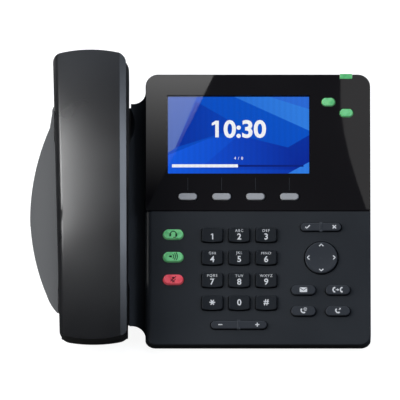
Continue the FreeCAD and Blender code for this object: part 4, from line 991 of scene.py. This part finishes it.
@dataclass
class KeySymbols:
    """Symbols on the function, lower, rocker and four-way keys.

    Attributes:
        film: height of the print over the key.
        rocker_share: a rocker symbol's distance from the middle, against the rocker's width.
        pad_share: a chevron's distance from the pad's middle, against the pad's width.
        pad_hollow_radius: radius of the sphere that hollows the pad.
        pad_hollow_depth: depth of that hollow at its middle.
        ridge: how far a rocker's printed ends lie below its ridge.
        flap_lift: how far the envelope's line lies over the envelope.
        rib_gap: distance between two grip ribs in millimetres.
        rib_width: width of a rib in millimetres.
        rib_height: its thickness.
        rib_reach: half its length against the rocker's.
        rib_sink: how far below the rocker's highest point it sits.
    """
    film: float = 0.02 * MM
    rocker_share: float = 0.33
    pad_share: float = 0.395
    pad_hollow_radius: float = 90.0 * MM
    pad_hollow_depth: float = 0.5 * MM
    ridge: float = 0.3 * MM
    flap_lift: float = 0.04 * MM
    rib_gap: float = 1.1
    rib_width: float = 0.55
    rib_height: float = 0.25 * MM
    rib_reach: float = 0.32
    rib_sink: float = 0.3 * MM

    def stamp(self, name: str, kind: Symbol, body: str, ink: bpy.types.Material,
              offset: Point = (0.0, 0.0), turn: float = 0.0, lower: float = 0.0, hollow: bool = False) -> None:
        """Put one symbol on a key.

        Args:
            name: the piece's name.
            kind: the symbol.
            body: the key.
            ink: the print's finish.
            offset: place from the key's centre, in metres.
            turn: turn in degrees.
            lower: how far below the key's highest point its surface is there.
            hollow: whether it lies in the four-way pad's round hollow.
        """
        x, y, z = face.centre(body)
        piece = joined(symbol_pieces(kind), name)
        piece.data.transform(Matrix.Rotation(math.radians(turn), 4, "Z"))
        if hollow:
            self.sink(piece, offset)
        settle(piece, body, ink, face.matrix(x + offset[0], y + offset[1], z - lower + self.film))

    def sink(self, piece: bpy.types.Object, offset: Point) -> None:
        """Lay a symbol down into the pad's round hollow.

        Args:
            piece: the symbol, drawn about its own middle.
            offset: its place from the pad's middle.
        """
        for vertex in piece.data.vertices:
            reach = math.hypot(vertex.co.x + offset[0], vertex.co.y + offset[1])
            fall = self.pad_hollow_depth - reach ** 2 / (2 * self.pad_hollow_radius)
            vertex.co.z -= max(fall, 0.0)

    def ribs(self, body: str) -> None:
        """Two grip ribs across the middle of a rocker, moulded with it.

        Args:
            body: the rocker.
        """
        x, y, z = face.centre(body)
        low, high = face.extent(body)
        reach = (high.y - low.y) / MM * self.rib_reach
        pieces = [stroke([(side * self.rib_gap / 2, -reach), (side * self.rib_gap / 2, reach)],
                         self.rib_width, self.rib_height) for side in (-1, 1)]
        # the key's own silicone, painted paler than the key it stands on as a highlight on the ribs, so that it
        # shows as two short lines
        finish = MouldedPlastic("silicone_rib_painted_highlight", "505459", "5a5e63", 0.35, 0.3, 0.06)
        settle(joined(pieces, "ribs_" + body), body, finish.material(),
               face.matrix(x, y, z - self.rib_sink))

    def build(self, white: bpy.types.Material, green: bpy.types.Material, red: bpy.types.Material,
              dark_line: bpy.types.Material) -> None:
        """Print every symbol.

        Args:
            white: ink for the black keys.
            green: ink for the green lit keys.
            red: ink for the red lit key.
            dark_line: ink for a line on a white patch.
        """
        for body, kind, ink in (("headset_key", Symbol.HEADSET, green), ("speaker_key", Symbol.SPEAKER, green),
                                ("mute_key", Symbol.MUTE, red)):
            self.stamp("symbol_" + body, kind, body, ink)
        for body, kind in (("message_key", Symbol.ENVELOPE), ("transfer_key", Symbol.TRANSFER),
                           ("call_log_key", Symbol.CALL_LOG), ("redial_key", Symbol.REDIAL)):
            self.stamp("symbol_" + body, kind, body, white)
        self.stamp("symbol_message_flap", Symbol.FLAP, "message_key", dark_line, lower=-self.flap_lift)
        for body, left, right in (("ok_cancel_rocker", Symbol.TICK, Symbol.CROSS),
                                  ("volume_rocker", Symbol.MINUS, Symbol.PLUS)):
            low, high = face.extent(body)
            reach = (high.x - low.x) * self.rocker_share
            self.stamp("symbol_%s_left" % body, left, body, white, (-reach, 0.0), lower=self.ridge)
            self.stamp("symbol_%s_right" % body, right, body, white, (reach, 0.0), lower=self.ridge)
            self.ribs(body)
        low, high = face.extent("nav_pad")
        reach = (high.x - low.x) * self.pad_share
        for index in range(4):
            angle = math.radians(90 * index)
            self.stamp("symbol_nav_pad_%d" % index, Symbol.CHEVRON, "nav_pad", white,
                       (-reach * math.sin(angle), reach * math.cos(angle)), 90.0 * index, hollow=True)


@dataclass
class Display:
    """The lit picture on the display: a plain wallpaper of blue planes, a clock and a progress bar, with a painted
    reflection over its top left corner.

    Attributes:
        width: the lit area's width in millimetres.
        height: its height in millimetres.
        clock: the time shown, which begins with a 1.
        clock_height: height of its digits in millimetres.
        clock_place: its middle, in shares of the lit area.
        first_digit: how far its first digit is from its middle, in millimetres.
        other_digits: how far the middle of the rest is from it, in millimetres.
        count: the small text under the clock.
        count_height: its height in millimetres.
        count_place: its middle, in shares of the lit area.
        bar_up: height of the progress bar, in shares of the lit area.
        film: thickness of what is drawn flat.
        gap: height of the lowest layer over the glass, in millimetres.
        step: height of one layer, in millimetres.
        top_layer: the layer of the clock, the count and the bar.
    """
    width: float = 93.9
    height: float = 53.2
    clock: str = "10:30"
    clock_height: float = 11.5
    clock_place: Point = (0.5, 0.58)
    first_digit: float = -15.0
    other_digits: float = 4.2
    count: str = "4 / 8"
    count_height: float = 2.0
    count_place: Point = (0.5, 0.2)
    bar_up: float = 0.10
    film: float = 0.01 * MM
    gap: float = 0.005
    step: float = 0.012
    top_layer: int = 6

    def at(self, across: float, up: float) -> Point:
        """A place given as shares of the lit area, in millimetres from its centre."""
        return ((across - 0.5) * self.width, (up - 0.5) * self.height)

    def patch(self, name: str, shares: Sequence[Point], finish: ScreenLight, layer: int) -> None:
        """Lay one plane of the wallpaper.

        Args:
            name: the piece's name.
            shares: a convex outline in shares of the lit area, anticlockwise.
            finish: its light.
            layer: how many layers lie under it.
        """
        piece = joined([plate([self.at(*s) for s in shares], self.film)], name)
        settle(piece, "base", finish.material(), self.place(layer))

    def place(self, layer: int) -> Matrix:
        """The move that lays a layer on the display's glass."""
        x, y, z = face.centre("lcd_module")
        return face.matrix(x, y, z + (self.gap + self.step * layer) * MM)

    def build(self) -> None:
        """Lay the wallpaper and what stands on it."""
        planes = [
            ("ground", [(0, 0), (1, 0), (1, 1), (0, 1)], "0048c4", "0055cc", 60, 0),
            ("upper_band", [(0.47, 1), (1, 0.56), (1, 1)], "0f5cd2", "2f7fe6", 20, 1),
            ("corner_glow", [(0.72, 1), (1, 0.84), (1, 1)], "1a66d8", "2a6cdc", 40, 2),
            # painted reflection: the band of lamp light across the bezel's top left, carried on over the picture as
            # a paler, greyer wedge
            ("pale_wedge", [(0, 0.27), (0.05, 0.33), (0.205, 1), (0, 1)], "5570bb", "3a62c4", 40, 1),
            ("deep_wedge", [(0.05, 0.33), (0.27, 0.46), (0.52, 0.60), (0.2, 0.94)], "0030a4", "0052d2", 10, 2),
            ("low_band", [(0, 0.24), (0, 0), (0.9, 0), (0.85, 0.34), (0.5, 0.50), (0.28, 0.45)],
             "0e5ce6", "0036b0", -10, 2),
            ("low_shade", [(0.22, 0.05), (0.9, 0.05), (0.85, 0.34), (0.5, 0.50)], "0d54e0", "00269a", 0, 3),
            ("right_shade", [(0.9, 0.05), (1, 0.14), (1, 0.50), (0.85, 0.34)], "0046c0", "00269a", -60, 3),
            ("foot", [(0.85, 0), (1, 0), (1, 0.15)], "1f72e4", "2f80ea", 0, 4)]
        for name, outline, start, stop, along, layer in planes:
            self.patch("screen_" + name, outline, ScreenLight("screen_%s_light" % name, start, stop, along), layer)
        white = ScreenLight("screen_white", "f4f8ff", "ffffff", 0).material()
        dark = ScreenLight("screen_dark_line", "021a6c", "032080", 0).material()
        self.set_top(self.clock_piece(), white)
        x, y = self.at(*self.count_place)
        small = lettering(self.count, self.count_height * MM, 0.0, self.film, 1.15)
        small.data.transform(Matrix.Translation((x * MM, y * MM, 0)))
        self.set_top(joined([small], "screen_count"), white)
        # the part that is done is drawn thicker than the part that is left
        for name, middle, share, thickness, light in (("screen_bar_done", 0.262, 0.467, 2.1, white),
                                                      ("screen_bar_rest", 0.728, 0.465, 1.3, dark)):
            line = bar(self.at(middle, self.bar_up), (share * self.width, thickness), self.film)
            self.set_top(joined([line], name), light)

    def clock_piece(self) -> bpy.types.Object:
        """The time, with its first digit drawn as a stem with a flag.

        Returns:
            A mesh object in its place on the lit area.
        """
        hours, minutes = self.clock.split(":")
        first = joined(figure_one(self.clock_height), "clock_one")
        first.data.transform(Matrix.Translation((self.first_digit * MM, 0, 0)))
        others = lettering(hours[1:] + ":" + minutes, self.clock_height * MM, 0.03, 0.05 * MM)
        others.data.transform(Matrix.Translation((self.other_digits * MM, 0, 0)))
        x, y = self.at(*self.clock_place)
        clock = joined([first, others], "screen_clock")
        flatten = Matrix.Diagonal((1, 1, 0.2, 1))
        clock.data.transform(Matrix.Translation((x * MM, y * MM, 0)) @ flatten)
        return clock

    def set_top(self, piece: bpy.types.Object, light: bpy.types.Material) -> None:
        """Lay a piece on the wallpaper's top.

        Args:
            piece: the piece, drawn in its place on the lit area.
            light: its finish.
        """
        settle(piece, "base", light, self.place(self.top_layer))


@dataclass
class BezelPrint:
    """Fine printed lines that join each soft key to the display.

    Attributes:
        width: line width in millimetres.
        share: a line's length against the room between its key and the display.
        film: thickness of the print.
    """
    width: float = 0.35
    share: float = 0.8
    film: float = 0.02 * MM

    def build(self, ink: bpy.types.Material) -> None:
        """Print the lines.

        Args:
            ink: the print's finish.
        """
        screen_low = face.extent("display_lens")[0].y
        for index in range(1, 5):
            body = "soft_key_%d" % index
            x = face.centre(body)[0]
            top = face.extent(body)[1].y
            length = (screen_low - top) / MM * self.share
            line = joined([bar((0, 0), (self.width, length), self.film)], "key_line_%d" % index)
            settle(line, "base", ink, face.matrix(x, (screen_low + top) / 2, 0.0))


# ---------------------------------------------------------------- studio

@dataclass
class Studio:
    """Floor, lamps, reflection cards and camera.

    Attributes:
        floor_size: side of the floor.
        camera_distance: how far away the camera stands.
        camera_elevation: how far it looks down, in degrees.
        frame_width: width of what it sees at the phone.
        right_of_axis: how far the face's right side is from the picture's middle.
        below_axis: how far the face's lower edge is under the picture's middle.
        sensor_width: the camera's sensor, in millimetres.
        clip: the nearest and the farthest that the camera sees.
        floor_glow: how white the floor looks to the eye.
        floor_glow_in_gloss: how bright it is in a glossy surface.
        floor_tone: sRGB hex of the floor as the phone meets it.
        floor_tone_seen: sRGB hex of the floor as the camera meets it.
        room_tint: sRGB hex of the room's light.
        room_strength: its brightness.
        aim_height: height of the point that every lamp faces.
        card_depth: thickness of a reflection card.
        fade_power: how steeply a fading card's light falls off.
    """
    floor_size: float = 6.0
    camera_distance: float = 12.0
    camera_elevation: float = 33.9
    frame_width: float = 0.2668
    right_of_axis: float = 113.34 * MM
    below_axis: float = 96.03 * MM
    sensor_width: float = 36.0
    clip: tuple[float, float] = (0.1, 50.0)
    floor_glow: float = 0.92
    floor_glow_in_gloss: float = 0.01
    floor_tone: str = "303030"
    floor_tone_seen: str = "909090"
    room_tint: str = "e8f2ff"
    room_strength: float = 0.075
    aim_height: float = 0.07
    card_depth: float = 0.1 * MM
    fade_power: float = 1.8

    def floor(self) -> None:
        """A plain white floor that keeps the phone's soft shadow.

        It looks white to the eye, but sends little light back up at the phone.
        """
        deselect()
        bpy.ops.mesh.primitive_plane_add(size=self.floor_size)
        ground = current("studio_floor")
        material, tree = blank("white_paper_floor")
        rays = add(tree, "ShaderNodeLightPath")
        clear = add(tree, "ShaderNodeMath", {".operation": "MAXIMUM"},
                    {0: rays.outputs["Is Camera Ray"], 1: rays.outputs["Is Transmission Ray"]})
        seen = add(tree, "ShaderNodeMath", {".operation": "MULTIPLY", 1: self.floor_glow},
                   {0: clear.outputs[0]})
        in_gloss = add(tree, "ShaderNodeMath", {".operation": "MULTIPLY", 1: self.floor_glow_in_gloss},
                       {0: rays.outputs["Is Glossy Ray"]})
        level = add(tree, "ShaderNodeMath", {".operation": "MAXIMUM"},
                    {0: seen.outputs[0], 1: in_gloss.outputs[0]})
        # the mix node's colours: two inputs and the result, found by number because they share their names
        first, second, result = 6, 7, 2
        tone = add(tree, "ShaderNodeMix", {".data_type": "RGBA", first: linear(self.floor_tone),
                                           second: linear(self.floor_tone_seen)}, {0: clear.outputs[0]})
        skin = add(tree, "ShaderNodeBsdfPrincipled", {"Roughness": 0.9, "Emission Color": (1.0, 1.0, 1.0, 1.0)},
                   {"Emission Strength": level.outputs[0], "Base Color": tone.outputs[result]})
        add(tree, "ShaderNodeOutputMaterial", links={"Surface": skin.outputs[0]})
        ground.data.materials.append(material)

    def world(self) -> None:
        """A dim, slightly cool room."""
        world = bpy.data.worlds.new("studio_room")
        bpy.context.scene.world = world
        world.use_nodes = True
        world.node_tree.nodes.clear()
        glow = add(world.node_tree, "ShaderNodeBackground",
                   {"Color": linear(self.room_tint), "Strength": self.room_strength})
        add(world.node_tree, "ShaderNodeOutputWorld", links={"Surface": glow.outputs[0]})

    def lamp(self, name: str, spot: Point3, size: float, power: float, tint: str = "ffffff",
             in_gloss: bool = True) -> None:
        """One soft square lamp that faces the phone.

        Args:
            name: the lamp's name.
            spot: where it stands.
            size: its side.
            power: watts.
            tint: sRGB hex of its light.
            in_gloss: whether glossy surfaces show it.
        """
        deselect()
        bpy.ops.object.light_add(type="AREA", location=spot)
        lamp = bpy.context.object
        lamp.name = name
        lamp.data.shape = "SQUARE"
        lamp.data.size = size
        lamp.data.energy = power
        lamp.data.color = linear(tint)[:3]
        aim = Vector((0, 0, self.aim_height)) - Vector(spot)
        lamp.rotation_mode = "QUATERNION"
        lamp.rotation_quaternion = aim.to_track_quat("-Z", "Y")
        lamp.visible_camera = False
        lamp.visible_glossy = in_gloss

    def towards_camera(self) -> Vector:
        """The direction from the phone to the camera."""
        lift = math.radians(self.camera_elevation)
        return Vector((0, -math.cos(lift), math.sin(lift)))

    def camera(self) -> None:
        """A long lens that looks almost squarely down on the face."""
        back = self.towards_camera()
        upward = Vector((0, back.z, -back.y))
        corner = face.point(face.extent("upper_housing")[1].x, 0, 0)
        target = Vector((corner.x - self.right_of_axis, 0, 0)) + upward * (corner.dot(upward) + self.below_axis)
        deselect()
        bpy.ops.object.camera_add(location=target + back * self.camera_distance)
        camera = current("studio_camera")
        camera.rotation_mode = "QUATERNION"
        camera.rotation_quaternion = (-back).to_track_quat("-Z", "Y")
        camera.data.sensor_width = self.sensor_width
        camera.data.lens = self.sensor_width * self.camera_distance / self.frame_width
        camera.data.clip_start, camera.data.clip_end = self.clip
        bpy.context.scene.camera = camera

    def mirrored(self, normal: Vector) -> Vector:
        """The way that a surface with this normal mirrors the camera's view."""
        back = self.towards_camera()
        return (2 * back.dot(normal) * normal - back).normalized()

    def reserved(self, cards: Sequence[str], nodes: Sequence[str]) -> None:
        """Let some cards light only some nodes, as flags do beside a real lamp.

        Args:
            cards: the cards' names.
            nodes: the CAD nodes that they light.
        """
        group = bpy.data.collections.new("lit_by_" + cards[0])
        for node in nodes:
            group.objects.link(frame["nodes"][node])
        for card in cards:
            bpy.data.objects[card].light_linking.receiver_collection = group

    def glowing(self, piece: bpy.types.Object, tint: str, strength: float,
                level: bpy.types.NodeSocket | None = None, tree: bpy.types.NodeTree | None = None,
                material: bpy.types.Material | None = None) -> None:
        """Make a card glow for glossy surfaces alone.

        Args:
            piece: the card.
            tint: sRGB hex of its light.
            strength: its brightness.
            level: a socket that sets the brightness over the card.
            tree: the node tree that holds the socket.
            material: the material of that tree.
        """
        if tree is None:
            material, tree = blank(piece.name + "_light")
        glow = add(tree, "ShaderNodeEmission", {"Color": linear(tint), "Strength": strength},
                   {"Strength": level} if level else None)
        add(tree, "ShaderNodeOutputMaterial", links={"Surface": glow.outputs[0]})
        piece.data.materials.clear()
        piece.data.materials.append(material)
        for ray in ("camera", "diffuse", "transmission", "volume_scatter", "shadow"):
            setattr(piece, "visible_" + ray, False)

    def card(self, name: str, outline: Sequence[Point], strength: float, tint: str = "ffffff",
             fade: tuple[float, float] | None = None, distance: float = 0.6) -> None:
        """A card that hangs where the face mirrors the camera's view, parallel to the face.

        Args:
            name: the card's name.
            outline: the shape that its reflection has on the face, in millimetres.
            strength: its brightness.
            tint: sRGB hex of its light.
            fade: heights up the face, in millimetres, where its light is gone and where it is full.
            distance: how far away it hangs.
        """
        mirror = self.mirrored(face.out)
        piece = joined([plate(outline, self.card_depth)], name)
        piece.data.transform(Matrix.Translation(mirror * distance) @ face.matrix())
        if not fade:
            self.glowing(piece, tint, strength)
            return
        material, tree = blank(name + "_light")
        place = add(tree, "ShaderNodeTexCoord")
        run = add(tree, "ShaderNodeVectorMath", {".operation": "DOT_PRODUCT", 1: face.up},
                  {0: place.outputs["Object"]})
        shift = mirror.dot(face.up) * distance + face.low_edge
        gone, full = fade
        span = add(tree, "ShaderNodeMapRange", {"From Min": shift + gone * MM, "From Max": shift + full * MM},
                   {"Value": run.outputs["Value"]})
        steep = add(tree, "ShaderNodeMath", {".operation": "POWER", 1: self.fade_power},
                    {0: span.outputs["Result"]})
        level = add(tree, "ShaderNodeMath", {".operation": "MULTIPLY", 1: strength}, {0: steep.outputs[0]})
        self.glowing(piece, tint, strength, level.outputs[0], tree, material)

    def leaning_card(self, name: str, start: Vector, lean: float, towards: Vector, size: Point,
                     strength: float, tint: str = "ffffff", distance: float = 0.7) -> None:
        """A card that a surface leaning away from the face's normal mirrors.

        Args:
            name: the card's name.
            start: where that surface is.
            lean: its lean in degrees.
            towards: the direction in which it leans.
            size: width and height of the card in millimetres.
            strength: its brightness.
            tint: sRGB hex of its light.
            distance: how far away it hangs.
        """
        angle = math.radians(lean)
        way = self.mirrored(face.out * math.cos(angle) + towards * math.sin(angle))
        turn = (-way).to_track_quat("Z", "Y").to_matrix().to_4x4()
        piece = joined([bar((0, 0), size, self.card_depth)], name)
        piece.data.transform(Matrix.Translation(start + way * distance) @ turn)
        self.glowing(piece, tint, strength)

    def build(self) -> None:
        """Set up the whole studio."""
        self.floor()
        self.world()
        self.lamp("left_softbox", (-1.1, -0.45, 0.75), size=0.9, power=18.5, in_gloss=False)
        self.lamp("right_softbox", (1.2, -0.5, 0.9), size=0.8, power=7.5, tint="dbe9ff", in_gloss=False)
        self.lamp("top_softbox", (0.0, 0.5, 1.5), size=1.1, power=4.8, tint="e6f0ff")
        self.lamp("rear_left_softbox", (-1.0, 1.0, 0.45), size=0.7, power=9.0)
        self.lamp("rear_right_softbox", (1.0, 1.1, 0.4), size=0.7, power=9.0, tint="e6f0ff")
        self.camera()
        self.cards()
        bpy.context.scene.view_settings.view_transform = "Standard"

    def cards(self) -> None:
        """Hang the reflection cards, and flag off those that are meant for a few nodes."""
        # on the bezel: a band that fades downwards on the left, and a slanting one on the right
        self.card("left_card", [(-75, 95), (-36.6, 95), (16.2, 205), (-75, 205)], strength=2.6,
                  fade=(98.0, 187.0))
        self.card("right_card", [(116, 93.3), (130, 93.3), (130, 205), (98, 205), (98.2, 168), (100.6, 149),
                                 (104.2, 132), (109.4, 113.5)], strength=0.75)
        # on the handset: its long body and its ear end
        self.card("handset_card", [(-178, 30), (-105, 30), (-105, 184), (-178, 184)], strength=17.6,
                  distance=0.25)
        self.card("handset_end_card", [(-205, 190), (-118, 190), (-118, 260), (-205, 260)], strength=0.5,
                  distance=0.25)
        # on the handset's slanting side, in the cradle's scoop, and on the wing
        facet = face.point(-57 * MM, 100 * MM, 20 * MM)
        self.leaning_card("facet_card", facet, 40.6, ACROSS, (260, 320), strength=7.2, tint="e4efff")
        scoop = face.point(-45 * MM, 150 * MM, -5 * MM)
        self.leaning_card("scoop_card", scoop, 45.0, face.up, (500, 260), strength=2.5, tint="e4eaff",
                          distance=0.9)
        wing = face.point(-105 * MM, 90 * MM, -20 * MM)
        self.leaning_card("wing_card", wing, -28.0, ACROSS, (600, 600), strength=2.9)
        self.reserved(("handset_card", "handset_end_card", "facet_card"),
                      ("handset_outer_shell", "handset_inner_shell"))
        self.reserved(("wing_card", "scoop_card"), ("upper_housing",))


def main() -> None:
    """Build the phone's looks in order."""
    logging.basicConfig(level=logging.INFO, format="%(name)s: %(message)s")
    dresser = Dresser()
    dresser.build()
    white = PrintedInk("white_screen_ink", "e9eaea", "cfd1d2").material()
    green = PrintedInk("dark_green_ink", "0e3a1c", "134526").material()
    red = PrintedInk("dark_red_ink", "4a1218", "5c1a20").material()
    line_ink = PrintedInk("grey_screen_ink", "2e3033", "26282a").material()
    black = PrintedInk("black_screen_ink", "1c1d20", "26282b").material()
    DialLegends().build(white)
    KeySymbols().build(white, green, red, black)
    Display().build()
    BezelPrint().build(line_ink)
    Studio().build()


if __name__ == "__main__":
    main()
